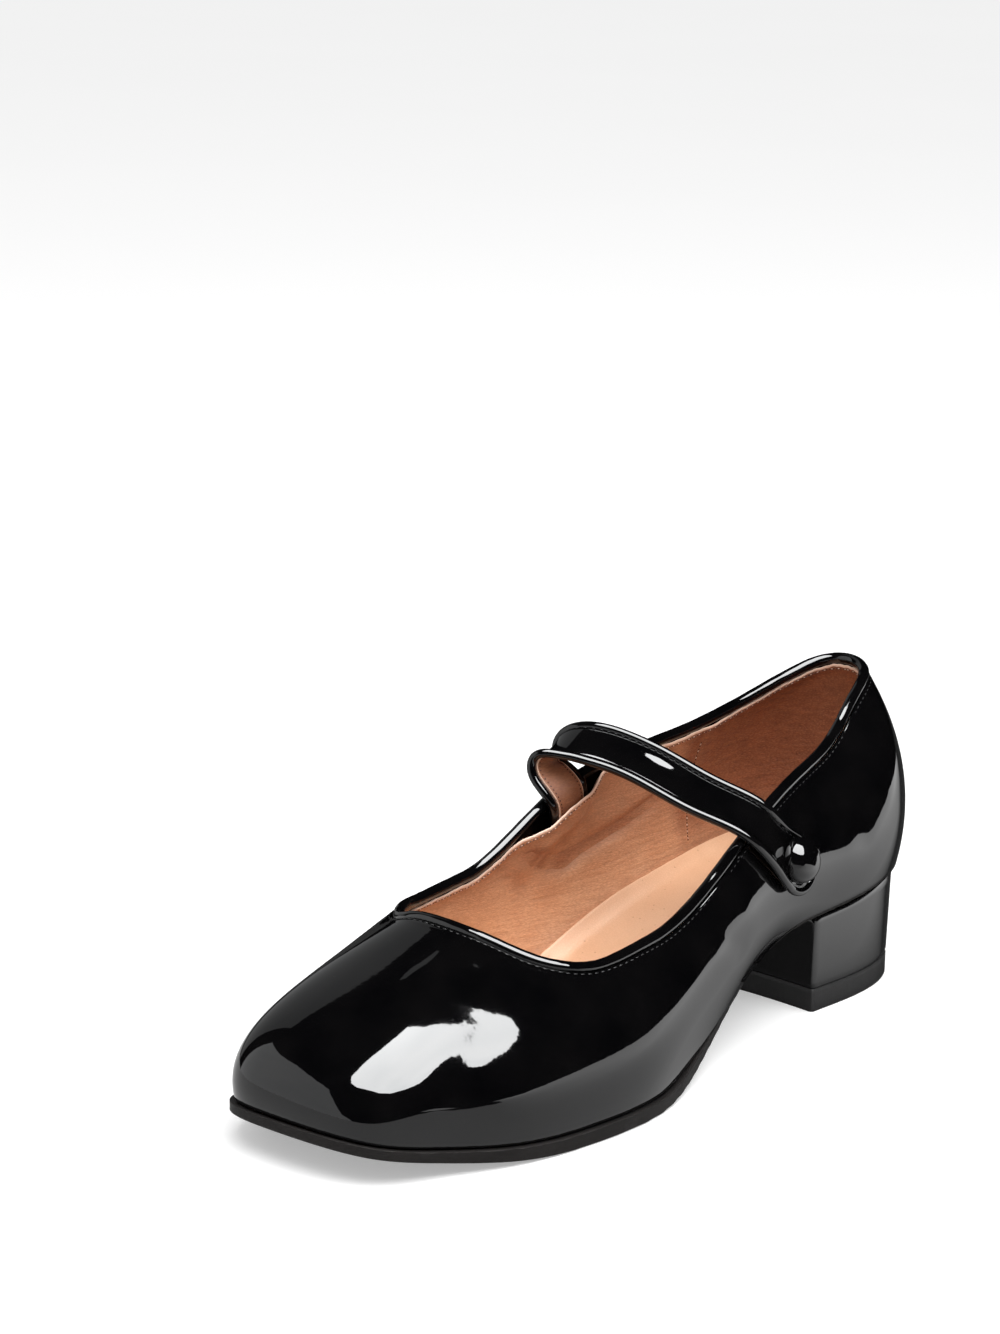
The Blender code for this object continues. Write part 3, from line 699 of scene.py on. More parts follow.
def brown_leather(name, light, mid, dark, raw=None, worn=None):
    """Grained leather with a pale raw edge on its map, drawn redder and darker where a given
    attribute says, as painted shade.
    """
    leather = Finish(name)
    pull = leather.stretched((1.0, 0.45, 1.7), 0.2)
    pebble = leather.cells(0.9, "DISTANCE_TO_EDGE", pull).between(0.0, 0.35)
    fine = leather.noise(0.5, 4.0, 0.6, pull)
    fold = leather.noise(2.2, 3.0, over=leather.stretched((0.6, 0.28, 2.0), 0.3))
    tan = leather.mixed(leather.noise(13.0, 3.0).between(0.3, 0.7), mid, light)
    grain = (pebble * 0.2 + fine * 0.6 + fold * 0.4).between(0.35, 0.75)
    grained = leather.mixed(grain, leather.mixed(0.70, dark, mid), tan)
    # Where the attribute is given, darker, redder browns are mixed in: painted shade, and for the
    # lining also its darker heel.
    if worn:
        shade_share = leather.add("ShaderNodeAttribute", {"attribute_name": worn}, {}, "Fac")
        shade_browns = [tuple(share * part for part in dark) for share in (0.6, 1.6)]
        grained = leather.mixed(shade_share, grained, leather.mixed(grain, *shade_browns))
    if raw:
        across = leather.along(leather.add("ShaderNodeUVMap", {"uv_map": "wrap"}, {}), 1)
        past_start, past_end = (across.between(place, place + CUT_BLUR) for place in raw)
        fibre = leather.mixed(fine, (0.66, 0.38, 0.26), (0.88, 0.62, 0.48))
        grained = leather.mixed(past_start * (1.0 - past_end), grained, fibre)
    return leather.done(
        Base_Color=grained,
        Roughness=0.44 + 0.16 * fine,
        Normal=leather.bumped(pebble * 0.15 + fine * 0.5 + fold * 1.6, 0.18),
        Specular_IOR_Level=0.35,
    )


# How much darker the lining is drawn: painted shade in its creases and towards the collar, and a
# darker heel.
CREASE_SHADE = 0.5
CREASE_DEEP = 1.9 * MM
HEEL_DARKER = 0.95
COLLAR_SHADE = 0.60
MOST_DARKENING = 0.97


def paint_lining_shade(mesh):
    """How red and dark the lining is drawn: painted shade in its creases and towards the collar, and
    darker at the heel, more so higher up.
    """
    points = np.array([corner.co for corner in mesh.vertices])
    forward = SHIFT[1] - points[:, 1]
    up = points[:, 2]
    # Painted shade: the deeper a crease and the nearer the collar, the darker the colour, where
    # shade falls.
    creases = CREASE_SHADE * np.clip(-creased(points, LINING_CREASES) / CREASE_DEEP, 0.0, 1.0)
    heel = HEEL_DARKER * smooth_step(0.060, 0.046, forward) * smooth_step(0.028, 0.052, up)
    collar = COLLAR_SHADE * smooth_step(0.048, 0.054, forward) * smooth_step(0.028, 0.060, up)
    worn = mesh.attributes.new("worn", "FLOAT", "POINT")
    worn.data.foreach_set("value", np.clip(creases + heel + collar, 0.0, MOST_DARKENING))


lining_browns = ((0.82, 0.47, 0.27), (0.74, 0.38, 0.20), (0.23, 0.075, 0.032))
# The lining's colour takes painted shade in its creases and towards the collar, and a darker heel,
# from the attribute written below.
lining_leather = brown_leather("lining_leather", *lining_browns, RAW_EDGE, "worn")
lining_skin = skin(LINING_COLUMNS, len(LINING_ROWS) - 1, (GIRTH, LINING_GIRTH), lining_point)
lining = piece("lining", lining_skin, lining_leather)
paint_lining_shade(lining.data)

EDGE_STITCH_DROP = 0.55 * MM
EDGE_PITCH = 1.25 * MM
STITCH_HOLES = round(GIRTH / EDGE_PITCH * COLLAR_SHARE)
SEAM_HOLES = 30
SEAM_STITCH_IN = 1.1 * MM
SEAM_STITCH_FALLS = (0.03, 0.80)


def edge_stitch_line(places):
    bed = np.full(len(places), (LINING_INNER + 0.95) * MM)
    return lining_at(places, np.full(len(places), EDGE_STITCH_DROP), np.zeros(len(places)), bed)


def every(step, start, *lines):
    """Some of the places of lines, at even steps."""
    return [line[start::step] for line in lines]


# The lining's edge and seam stitches are drawn as two kinds of grain: dark brown ones are painted
# shade in the stitch holes, and pale ones are painted glints on the thread.
edge_places = even_places(lambda places: edge_stitch_line(places)[0], 2 * STITCH_HOLES)
points, along, out = edge_stitch_line(edge_places)
hole_shade_runs = [(*every(2, 0, points, along, -out), 0.75 * MM, 0.17 * MM)]
glint_runs = [(*every(4, 1, points, along, -out), 0.7 * MM, 0.17 * MM)]
falls = np.linspace(*SEAM_STITCH_FALLS, 2 * SEAM_HOLES)
for seam in SEAMS:
    down_seam = (seam + SEAM_STITCH_IN, NEAR_RIM * MM, LINING_INNER * MM)
    place, drop, bed = (np.full(len(falls), value) for value in down_seam)
    points, _, out = lining_at(place, drop, falls, bed)
    down = unit(np.gradient(points, axis=0))
    hole_shade_runs.append((*every(2, 0, points, down, -out), 0.7 * MM, 0.20 * MM))
    glint_runs.append((*every(4, 1, points, down, -out), 0.9 * MM, 0.22 * MM))
# Painted shade for the stitch holes, and painted glints for the thread.
hole_shade_thread = thread("stitch_hole_shade", (0.080, 0.030, 0.018), (0.020, 0.007, 0.004))
glint_thread = thread("stitch_glint", (0.86, 0.66, 0.54), (0.50, 0.27, 0.17))
stitches("lining_stitch_hole_shade", hole_shade_runs, hole_shade_thread)
stitches("lining_stitch_glints", glint_runs, glint_thread)


# --- Sock ----------------------------------------------------------------------------------
# Smooth light tan leather over the insole board. Its edges curl up against the lining, most
# at the medial arch.

SOCK_STATIONS = 130
SOCK_ROWS = 44
SOCK_EDGE = 2.35 * MM
SOCK_THICK = 3.5 * MM
SOCK_CURL = 3.0 * MM
SOCK_CURL_ARCH = 1.2 * MM
SOCK_CURL_WIDTH = 5.5 * MM
SOCK_ROUND = 0.6 * MM
SOCK_SWELL = 0.25 * MM
SOCK_WAIST_IN = 1.0 * MM
ARCH_MIDDLE = 0.105
ARCH_LONG = 0.040
OUTLINE_SAMPLES = 1200
PLACE_OF = {row.place: knot for row, knot in zip(SECTIONS, KNOTS)}
PLATE_CORNERS = [
    PLACE_OF[end + side] for end in ("heel_round_", "toe_corner_") for side in ("medial", "lateral")
]


def plate_plan(along, across, ledge):
    """Plan of a plate whose edge follows the feather line, moved out by a ledge.

    along runs from heel to toe, and across from the medial to the lateral edge.
    """
    heel_inn, heel_out, toe_inn, toe_out = PLATE_CORNERS
    u = along[:, None]
    v = across[:, None]

    def edge(start, end, share):
        plan, outward = feather(start + (end - start) * share)
        return plan + outward * ledge(plan[:, :1])

    def between_sides(share):
        return (1.0 - v) * edge(heel_inn, toe_inn, share) + v * edge(heel_out, toe_out, share)

    heel = edge(heel_inn - GIRTH, heel_out, across) - between_sides(np.zeros_like(along))
    toe = edge(toe_inn, toe_out, across) - between_sides(np.ones_like(along))
    return between_sides(along) + (1.0 - u) * heel + u * toe


def from_edge(plan, ledge):
    """How far each point of a plate is from its edge."""
    line, outward = feather(np.linspace(0.0, GIRTH, OUTLINE_SAMPLES, endpoint=False))
    line = line + outward * ledge(line[:, :1])
    reach = np.full(len(plan), 1.0)
    for corner in line:
        reach = np.minimum(reach, np.hypot(*(plan - corner).T))
    return reach


def plate_skin(stations, rows, ledge, heights_of):
    """Closed plate: two grids, closer set near their edges, bridged round the rim.

    heights_of gives its lower and upper face from forward, side and distance to the edge.
    """
    shape = bmesh.new()
    bmesh.ops.create_grid(shape, x_segments=stations, y_segments=rows, size=0.5)
    shares = np.array([corner.co for corner in shape.verts])[:, :2]
    shares = 0.5 + 0.5 * np.sin(shares * math.pi)
    plan = plate_plan(shares[:, 0], shares[:, 1], ledge)
    bmesh.ops.duplicate(shape, geom=shape.verts[:] + shape.edges[:] + shape.faces[:])
    shape.verts.ensure_lookup_table()
    for layer, heights in enumerate(heights_of(plan[:, 0], plan[:, 1], from_edge(plan, ledge))):
        points = placed(np.column_stack([plan, heights]))
        for corner, point in zip(shape.verts[layer * len(plan) :], points):
            corner.co = point
    rims = [edge for edge in shape.edges if edge.is_boundary]
    bmesh.ops.bridge_loops(shape, edges=rims)
    bmesh.ops.recalc_face_normals(shape, faces=shape.faces)
    return shape


def sock_ledge(forward):
    waist = smooth_step(0.060, 0.090, forward) * smooth_step(0.160, 0.130, forward)
    return -SOCK_EDGE + SOCK_WAIST_IN * waist


def sock_heights(forward, side, reach):
    medial_arch = hump(forward - ARCH_MIDDLE, ARCH_LONG) * smooth_step(0.005, -0.020, side)
    rise = SOCK_CURL + SOCK_CURL_ARCH * medial_arch
    curl = rise * np.clip(1.0 - reach / SOCK_CURL_WIDTH, 0.0, 1.0) ** 2
    board = feather_height(forward, side) + GAP
    swell = SOCK_SWELL * np.sin(forward * 95.0) * np.sin(side * 120.0 + 1.0)
    edge = SOCK_ROUND * np.clip(1.0 - reach / SOCK_ROUND, 0.0, 1.0) ** 2
    return board + curl * 0.85, board + SOCK_THICK + curl + swell - edge


def sock_leather():
    """Smooth tan leather with fine pores."""
    sock = Finish("sock_leather")
    fine = sock.noise(0.6, 3.0)
    pore = 1.0 - sock.cells(3.2).between(0.05, 0.12)
    grain = sock.cells(0.8, "DISTANCE_TO_EDGE").between(0.0, 0.2)
    cloud = sock.noise(22.0, 3.0).between(0.3, 0.7)
    tan = sock.mixed(cloud, (0.74, 0.43, 0.25), (0.80, 0.49, 0.30))
    return sock.done(
        Base_Color=sock.mixed(pore * 0.5 + (1.0 - grain) * 0.12, tan, (0.42, 0.19, 0.09)),
        Roughness=0.42 + 0.14 * fine,
        Normal=sock.bumped(grain * 0.4 + fine * 0.6 - pore, 0.04),
        Specular_IOR_Level=0.35,
    )


sock_skin = plate_skin(SOCK_STATIONS, SOCK_ROWS, sock_ledge, sock_heights)
piece("sock", sock_skin, sock_leather(), "insole")


# --- Outsole -------------------------------------------------------------------------------
# Moulded black rubber, 4.2 mm thick at the forefoot and skived thin under the waist and seat,
# cemented on. Only its forefoot edge stands out past the upper.

FORE_LEDGE = 1.3 * MM
WAIST_LEDGE = -1.4 * MM
LEDGE_START = 0.092
LEDGE_END = 0.140
SOLE_ROUND = 0.9 * MM
SOLE_THIN = 1.1 * MM
THIN_START = 0.186
THIN_END = 0.240
SOLE_STATIONS = 180
SOLE_ROWS = 64


def sole_ledge(forward):
    grown = smooth_step(LEDGE_START, LEDGE_END, forward)
    return WAIST_LEDGE + (FORE_LEDGE - WAIST_LEDGE) * grown


def sole_heights(forward, side, reach):
    low = under_height(forward, side) + SOLE_THIN * smooth_step(THIN_START, THIN_END, forward)
    high = feather_height(forward, side)
    corner = np.minimum(SOLE_ROUND, 0.45 * (high - low))
    near = np.clip(1.0 - reach / corner, 0.0, 1.0)
    drop = corner * (1.0 - np.sqrt(1.0 - near**2))
    return low + drop, high - drop * 0.4


def sole_rubber():
    """Matt rubber with a sanded edge and a fine pimpled tread underneath."""
    rubber = Finish("sole_rubber")
    sanded = rubber.noise(0.7, 3.0, over=rubber.stretched((1.0, 1.0, 4.0)))
    facing = rubber.along(rubber.add("ShaderNodeNewGeometry", {}, {}, "True Normal"), 2)
    below = (0.0 - facing).between(0.6, 0.9)
    pimple = 1.0 - rubber.cells(2.2).between(0.25, 0.45)
    blacks = ((0.0060, 0.0050, 0.0046), (0.012, 0.010, 0.0095))
    return rubber.done(
        Base_Color=rubber.mixed(rubber.noise(12.0), *blacks),
        Roughness=0.46 + 0.22 * sanded,
        Normal=rubber.bumped(sanded * 0.25 + pimple * below, 0.25),
        Specular_IOR_Level=0.15,
    )


sole_skin = plate_skin(SOLE_STATIONS, SOLE_ROWS, sole_ledge, sole_heights)
piece("outsole_cover", sole_skin, sole_rubber(), "outsole")


# --- Heel ----------------------------------------------------------------------------------
# A hollow moulded block with a smooth black lacquer, screwed on through the insole. It stands
# in a little from the upper, its breast is slightly hollow, and a rubber lift covers its foot.

BREAST = 0.057
BREAST_HOLLOW = 1.2 * MM
BLOCK_INSET = 1.2 * MM
BLOCK_TAPER = 0.6 * MM
BLOCK_CORNER = 1.5 * MM
LIFT_CORNER = 1.0 * MM
LIFT_THICK = 7.0 * MM
BEVEL = 0.35 * MM
BEVEL_SHARE = 0.02
HEEL_MIDDLE = 0.030
HEEL_COLUMNS = 260
BLOCK_RINGS = 24
LIFT_RINGS = 10
SIDE_STEPS = 90
CORNER_STEPS = 12
BREAST_STEPS = 40
HEEL_ROUND = 0.20


def heel_outline(inset, corner, share):
    """Points round the D shaped plan of the heel, cut off by the hollow breast."""
    plan, outward = feather(np.linspace(0.0, GIRTH, OUTLINE_SAMPLES, endpoint=False))
    edge = plan - outward * inset
    edge = np.roll(edge, -int(np.argmin(edge[:, 0])), axis=0)
    toe = int(np.argmax(edge[:, 0]))
    start = edge[0, 0]
    front = BREAST - corner
    quarter = np.linspace(0.0, math.pi / 2.0, SIDE_STEPS)
    forward = start + (front - start) * (1.0 - np.cos(quarter))
    turn = np.linspace(0.0, math.pi / 2.0, CORNER_STEPS)[1:]
    sides = []
    ends = []
    for outwards, line in [(1.0, edge[: toe + 1]), (-1.0, np.vstack([edge[toe:], edge[:1]])[::-1])]:
        side = np.interp(forward, *line.T)
        end = side[-1] - outwards * corner
        rounded = [front + corner * np.sin(turn), end + outwards * corner * np.cos(turn)]
        sides.append(np.vstack([np.column_stack([forward, side]), np.column_stack(rounded)]))
        ends.append(end)
    across = np.linspace(*ends, BREAST_STEPS)[1:-1]
    hollow = 1.0 - ((2.0 * across - sum(ends)) / (ends[0] - ends[1])) ** 2
    breast = np.column_stack([BREAST - BREAST_HOLLOW * hollow, across])
    line = np.vstack([sides[0], breast, sides[1][::-1]])
    length = run_along(line)
    return np.column_stack([np.interp(share * length[-1], length, column) for column in line.T])


def heel_skin(rings, size, foot, top_of, corner, inset_foot, inset_top):
    """Closed wall of a heel piece from its foot to its top, with both edges rounded off."""

    def point(round_share, up_share):
        plan = heel_outline(inset_foot, corner, round_share)
        plan = plan + (heel_outline(inset_top, corner, round_share) - plan) * up_share[:, None]
        pull = BEVEL * (hump(up_share, BEVEL_SHARE) + hump(1.0 - up_share, BEVEL_SHARE))
        away = plan - (HEEL_MIDDLE, np.mean(plan[:, 1]))
        plan = plan - unit(away) * pull[:, None]
        up = foot + (top_of(plan[:, 0]) - foot) * up_share
        return placed(np.column_stack([plan, up]))

    return skin(HEEL_COLUMNS, rings, size, point)


def block_top(forward):
    return tread_height(forward) - GAP


def lift_top(forward):
    return LIFT_THICK


def heel_lacquer():
    """Smooth lacquered block, with faint waves from its mould."""
    lacquer = Finish("heel_lacquer")
    wave = lacquer.noise(9.0, 2.0)
    return lacquer.done(
        Base_Color=lacquer.mixed(wave, (0.0016, 0.0016, 0.0018), (0.004, 0.0038, 0.004)),
        Roughness=0.07 + 0.07 * wave,
        Specular_IOR_Level=0.8,
        Normal=lacquer.bumped(wave * 3.0 + lacquer.noise(0.9, 1.0), 0.004),
    )


def lift_rubber():
    """Dense rubber, its edge sanded with upright strokes."""
    rubber = Finish("lift_rubber")
    stroke = rubber.noise(0.5, 3.0, over=rubber.stretched((1.0, 1.0, 0.12)))
    speck = rubber.noise(0.35, 1.0)
    return rubber.done(
        Base_Color=rubber.mixed(stroke, (0.009, 0.009, 0.0095), (0.020, 0.019, 0.019)),
        Roughness=0.42 + 0.2 * speck,
        Normal=rubber.bumped(stroke * 0.7 + speck * 0.3, 0.04),
        Specular_IOR_Level=0.4,
    )


BLOCK_FOOT = BLOCK_INSET + BLOCK_TAPER
block_start = LIFT_THICK + GAP
block_skin = heel_skin(
    BLOCK_RINGS, (HEEL_ROUND, 0.027), block_start, block_top, BLOCK_CORNER, BLOCK_FOOT, BLOCK_INSET
)
piece("heel_block_cover", block_skin, heel_lacquer(), "heel_block")
lift_skin = heel_skin(
    LIFT_RINGS, (HEEL_ROUND, LIFT_THICK), 0.0, lift_top, LIFT_CORNER, BLOCK_FOOT, BLOCK_FOOT
)
piece("heel_lift_cover", lift_skin, lift_rubber(), "heel_lift")


# --- Strap ---------------------------------------------------------------------------------
# Patent leather over a thin pad, with a bead down both edges and round the tip, backed with
# the brown lining leather and sewn through along the beads. Its root is caught behind the
# medial lining.

STRAP_HALF = 8.0 * MM
STRAP_BEAD = 1.3 * MM
TIP_RADIUS = 8.8 * MM
WIDEN_FROM = 12.0 * MM
WIDEN_TO = 2.0 * MM

# Centre line of the strap from its root inside the medial topline to its round tip.
#   forward per cent of LENGTH, side per cent of BALL_WIDTH, height per cent of INSTEP above
#   the floor; face_turn is where the outer face looks in plan, in degrees from the lateral
#   side round by the toe to the medial side, and face_up its tilt upwards
StrapRow = namedtuple("StrapRow", "place forward side height face_turn face_up")
STRAP = [
    StrapRow("caught", 44.5, -27.8, 108, -180, 2),
    StrapRow("root", 44.9, -27.2, 114, -180, 2),
    StrapRow("collar_medial", 45.5, -26.5, 122, -180, 0),
    StrapRow("over_piping", 46.1, -30.4, 130, -180, 0),
    StrapRow("rise", 46.1, -34.6, 137.5, -178, 6),
    StrapRow("shoulder", 45.3, -32.4, 145.0, -144, 40),
    StrapRow("crown", 43.4, -20.0, 148.5, -68, 58),
    StrapRow("slope", 41.4, 0.0, 141, -42, 54),
    StrapRow("fall", 39.3, 19.0, 129, -38, 54),
    StrapRow("collar_lateral", 37.0, 35.8, 118.4, -14, 44),
    StrapRow("lie", 34.0, 39.5, 103.6, -2, 28),
    StrapRow("tip", 31.0, 40.4, 91.8, -8, 18),
]
strap_rows = np.array([row[1:] for row in STRAP])
strap_line = turned(strap_rows[:, :3] * (LENGTH, BALL_WIDTH, INSTEP) / 100.0)
STRAP_TABLE = np.hstack([strap_line, np.radians(strap_rows[:, 3:])])
STRAP_KNOTS = run_along(strap_line)
TIP_PLACE = STRAP_KNOTS[-1]


def strap_row(places):
    return spline(STRAP_KNOTS, STRAP_TABLE, np.clip(places, 0.0, TIP_PLACE))


def strap_frame(places):
    """Centre line of the strap with its directions along, across and off the foot."""
    inside = np.clip(places, 0.0, TIP_PLACE)
    row = strap_row(places)
    along = heading(lambda at: strap_row(at)[:, :3], inside)
    centre = row[:, :3] + along * (places - inside)[:, None]
    turn, up = row[:, 3:].T
    face = np.stack([np.cos(turn) * np.cos(up), np.sin(turn) * np.cos(up), np.sin(up)], axis=1)
    across = unit(np.cross(face, along))
    return centre + SHIFT, along, across, np.cross(along, across)


def strap_half(places, half, tip):
    """Half width along the strap: parallel, then widening to the round tip."""
    beyond = places - TIP_PLACE
    body = half + (tip - half) * smooth_step(-WIDEN_FROM, -WIDEN_TO, beyond)
    end = np.sqrt(np.clip(tip**2 - np.clip(beyond, 0.0, tip) ** 2, 0.0, None))
    return np.where(beyond > 0.0, end, body)


STRAP_COLUMNS = 170
STRAP_SIZE = (TIP_PLACE + TIP_RADIUS, 0.030)
TIP_SHARE = 0.12
LAYER_ROWS = 36
EDGE_SHARE = 0.985
EDGE_THICK = 0.6


def strap_layer(margin, low, high, lid_of=None):
    """Skin of a layer of the strap, set in by a margin, between two heights off its middle.

    lid_of gives how far its upper face stands higher, from the place and the reach across.
    """
    tip = TIP_RADIUS - margin
    middle = (low + high) / 2.0

    def point(share, girth_share):
        turn = np.clip((share - 1.0 + TIP_SHARE) / TIP_SHARE, 0.0, 1.0) * math.pi / 2.0
        places = np.minimum(share / (1.0 - TIP_SHARE), 1.0) * TIP_PLACE + tip * np.sin(turn)
        centre, _, across, off = strap_frame(places)
        width = strap_half(places, STRAP_HALF - margin, tip)
        swing = girth_share * 2.0 * math.pi
        reach = -np.cos(swing)
        top = high + lid_of(places, reach * width, width) if lid_of else high
        lift = np.where(np.sin(swing) > 0.0, top, low)
        edge = np.abs(reach) > EDGE_SHARE
        lift = np.where(edge, middle + (lift - middle) * EDGE_THICK, lift)
        return centre + across * (reach * width)[:, None] + off * lift[:, None]

    return skin(STRAP_COLUMNS, LAYER_ROWS, STRAP_SIZE, point)


FACE_DOME = 0.14 * MM
FACE_LEAN = math.tan(math.radians(5.5))
LEAN_GROWS = (0.024, 0.036)
LEAN_FADES = (TIP_PLACE, TIP_PLACE - 0.015)
FACE_FOLD = 0.34 * MM
FOLD_MIDDLE = 0.055
FOLD_LONG = 0.009
FOLD_REACH = 4.2 * MM
FOLD_WIDE = 2.2 * MM
LEAST_WIDTH = 0.01 * MM


def face_lid(places, reach, width):
    """Domed pad under the patent, leaning back, with a slack fold over the instep."""
    share = reach / np.maximum(width, LEAST_WIDTH)
    dome = FACE_DOME * np.sqrt(np.clip(1.0 - share**2, 0.0, 1.0))
    dome = dome * np.sqrt(np.clip(width / STRAP_HALF, 0.0, 1.0))
    lean = smooth_step(*LEAN_GROWS, places) * smooth_step(*LEAN_FADES, places)
    fold = hump(places - FOLD_MIDDLE, FOLD_LONG) * hump(reach - FOLD_REACH, FOLD_WIDE)
    return dome - FACE_LEAN * reach * lean + FACE_FOLD * fold


EDGE_STEP = 0.0004


def edge_line(share, margin, up):
    """Line inside the strap's edge: up the front, round the tip and back along the rear."""
    tip = TIP_RADIUS - margin
    arc = math.pi * tip
    run = share * (2.0 * TIP_PLACE + arc)
    turn = np.clip((run - TIP_PLACE) / arc, 0.0, 1.0) * math.pi
    places = np.minimum(np.minimum(run, 2.0 * TIP_PLACE + arc - run), TIP_PLACE)
    centre, along, across, off = strap_frame(places)
    sideways = -np.cos(turn) * strap_half(places, STRAP_HALF - margin, tip)
    ahead = tip * np.sin(turn)
    return centre + across * sideways[:, None] + along * ahead[:, None] + off * up, off


def edge_frame(share, margin, up):
    """Points of an edge line with its directions along, sideways and off the strap."""
    point, off = edge_line(share, margin, up)
    along = heading(lambda at: edge_line(np.clip(at, 0.0, 1.0), margin, up)[0], share, EDGE_STEP)
    side = unit(np.cross(along, off))
    return point, along, side, np.cross(side, along)


def edge_tube(columns, sides, size, margin, up, wide, high):
    """Skin of a tube along an edge line of the strap."""

    def point(share, girth_share):
        centre, _, side, face = edge_frame(share, margin, up)
        return tube(centre, side, face, girth_share, wide, high)

    return skin(columns, sides, size, point)


def edge_run(count, margin, up, facing, length, radius):
    """Run of stitches along an edge line, looking off the strap or into the shoe."""
    points, along, _, off = edge_frame((np.arange(count) + 0.5) / count, margin, up)
    return points, along, facing * off, length, radius


strap_skin = strap_layer(2.3 * MM, -0.2 * MM, 0.60 * MM, face_lid)
piece("strap_face", strap_skin, patent, "strap")

strap_bead_skin = edge_tube(460, 16, (0.22, 0.008), STRAP_BEAD, 0.0, STRAP_BEAD, STRAP_BEAD)
piece("strap_bead", strap_bead_skin, bead_patent, "strap_piping")

# The leather turned in under the strap's bead, drawn very dark: partly its own colour, partly
# painted shade from the bead over it.
turning_shade_browns = ((0.10, 0.045, 0.024), (0.060, 0.026, 0.014), (0.020, 0.008, 0.005))
turning_leather = brown_leather("turning_leather", *turning_shade_browns)
turning_skin = strap_layer(1.2 * MM, -0.95 * MM, -0.3 * MM)
piece("strap_turning", turning_skin, turning_leather)

BACKING_MARGIN = 2.7 * MM
backing_browns = ((0.32, 0.125, 0.055), (0.24, 0.086, 0.038), (0.050, 0.016, 0.008))
backing_leather = brown_leather("backing_leather", *backing_browns)
backing_skin = strap_layer(BACKING_MARGIN, -1.30 * MM, -0.60 * MM)
piece("strap_backing", backing_skin, backing_leather)

edge_fibre = Finish("backing_edge")
fibre_grain = edge_fibre.noise(0.4, 3.0)
edge_fibre.done(
    Base_Color=edge_fibre.mixed(fibre_grain, (0.42, 0.22, 0.14), (0.78, 0.52, 0.38)),
    Roughness=0.7 + 0.2 * fibre_grain,
    Normal=edge_fibre.bumped(fibre_grain, 0.15),
)
edge_margin = BACKING_MARGIN + 0.05 * MM
edge_skin = edge_tube(420, 8, (0.22, 0.003), edge_margin, -0.98 * MM, 0.24 * MM, 0.38 * MM)
piece("strap_backing_edge", edge_skin, edge_fibre.material)

# Black stitches show beside the bead on the face, and dark red ones on the backing.
STRAP_STITCHES = 116
face_run = edge_run(STRAP_STITCHES, 2.75 * MM, 0.62 * MM, 1, 1.1 * MM, 0.12 * MM)
back_run = edge_run(2 * STRAP_STITCHES, 3.6 * MM, -1.30 * MM, -1, 0.60 * MM, 0.19 * MM)
red_thread = thread("thread_dark_red", (0.070, 0.016, 0.010), (0.014, 0.004, 0.003))
stitches("strap_stitches", [face_run], black_thread)
stitches("strap_backing_stitches", [back_run], red_thread)


# --- Button --------------------------------------------------------------------------------
# A domed button covered in the same patent, sewn on over the strap's tip. It stands on a
# short neck, and its rim is turned under.

BUTTON_RADIUS = 6.6 * MM
BUTTON_HEIGHT = 5.9 * MM
BUTTON_RIM = 0.6 * MM
RIM_TUCK = 0.12 * MM
FOOT_FLARE = 0.5 * MM
BUTTON_FOOT = 5.0 * MM
BUTTON_BACK = 3.0 * MM
BUTTON_SEAT = 0.85 * MM
BUTTON_SIDES = 72
DOME_STEPS = 26
DOME_SQUARE = 0.82

button_shape = bmesh.new()
dome_turns = np.linspace(math.pi / 2.0, 0.0, DOME_STEPS)
dome = [
    (
        BUTTON_RADIUS * math.cos(turn) ** DOME_SQUARE,
        0.0,
        BUTTON_RIM + BUTTON_HEIGHT * math.sin(turn) ** DOME_SQUARE,
    )
    for turn in dome_turns
]
dome[0] = (0.0, 0.0, BUTTON_RIM + BUTTON_HEIGHT)
under_dome = [
    (BUTTON_RADIUS - RIM_TUCK, 0.0, BUTTON_RIM * 0.55),
    (BUTTON_FOOT + FOOT_FLARE, 0.0, BUTTON_RIM * 0.2),
    (BUTTON_FOOT, 0.0, 0.0),
    (0.0, 0.0, 0.0),
]
corners = [button_shape.verts.new(point) for point in dome + under_dome]
ribs = [button_shape.edges.new(pair) for pair in zip(corners, corners[1:])]
bmesh.ops.spin(
    button_shape,
    geom=corners + ribs,
    cent=(0.0, 0.0, 0.0),
    axis=(0.0, 0.0, 1.0),
    angle=2.0 * math.pi,
    steps=BUTTON_SIDES,
    use_merge=True,
    use_duplicate=False,
)
bmesh.ops.remove_doubles(button_shape, verts=button_shape.verts, dist=WELD)
bmesh.ops.recalc_face_normals(button_shape, faces=button_shape.faces)
button_centre, _, button_across, button_off = strap_frame(np.array([TIP_PLACE - BUTTON_BACK]))
button_base = button_centre[0] + button_off[0] * BUTTON_SEAT
button_axes = Matrix(
    (button_across[0], np.cross(button_off[0], button_across[0]), button_off[0])
).transposed()
bmesh.ops.transform(
    button_shape,
    matrix=Matrix.Translation(Vector(button_base)) @ button_axes.to_4x4(),
    verts=button_shape.verts,
)
piece("button_dome", button_shape, bead_patent, "button")


# --- Studio --------------------------------------------------------------------------------
# A pale floor, lit by a panel and the world. Glossy leather sees only a softbox overhead, a
# table in front of the shoe, a round reflector beyond the toe, and walls to the medial side,
# the lateral side and behind. The camera looks from the toe and lateral side, rolled a little.


def stage_piece(name, corners, material, soft=0.0):
    """Flat sheet that isn't part of the shoe. Its light fades out within its soft edge."""
    shape = bmesh.new()
    lit = shape.verts.layers.float.new("lit")
    posts = [shape.verts.new(corner) for corner in corners]
    sides = [shape.edges.new(pair) for pair in zip(posts, posts[1:] + posts[:1])]
    bmesh.ops.contextual_create(shape, geom=sides)
    if soft:
        bmesh.ops.inset_region(shape, faces=shape.faces[:], thickness=soft, use_even_offset=True)
    for vert in shape.verts:
        vert[lit] = 0.0 if soft and vert.is_boundary else 1.0
    made = mesh_object(name, shape, material)
    return made


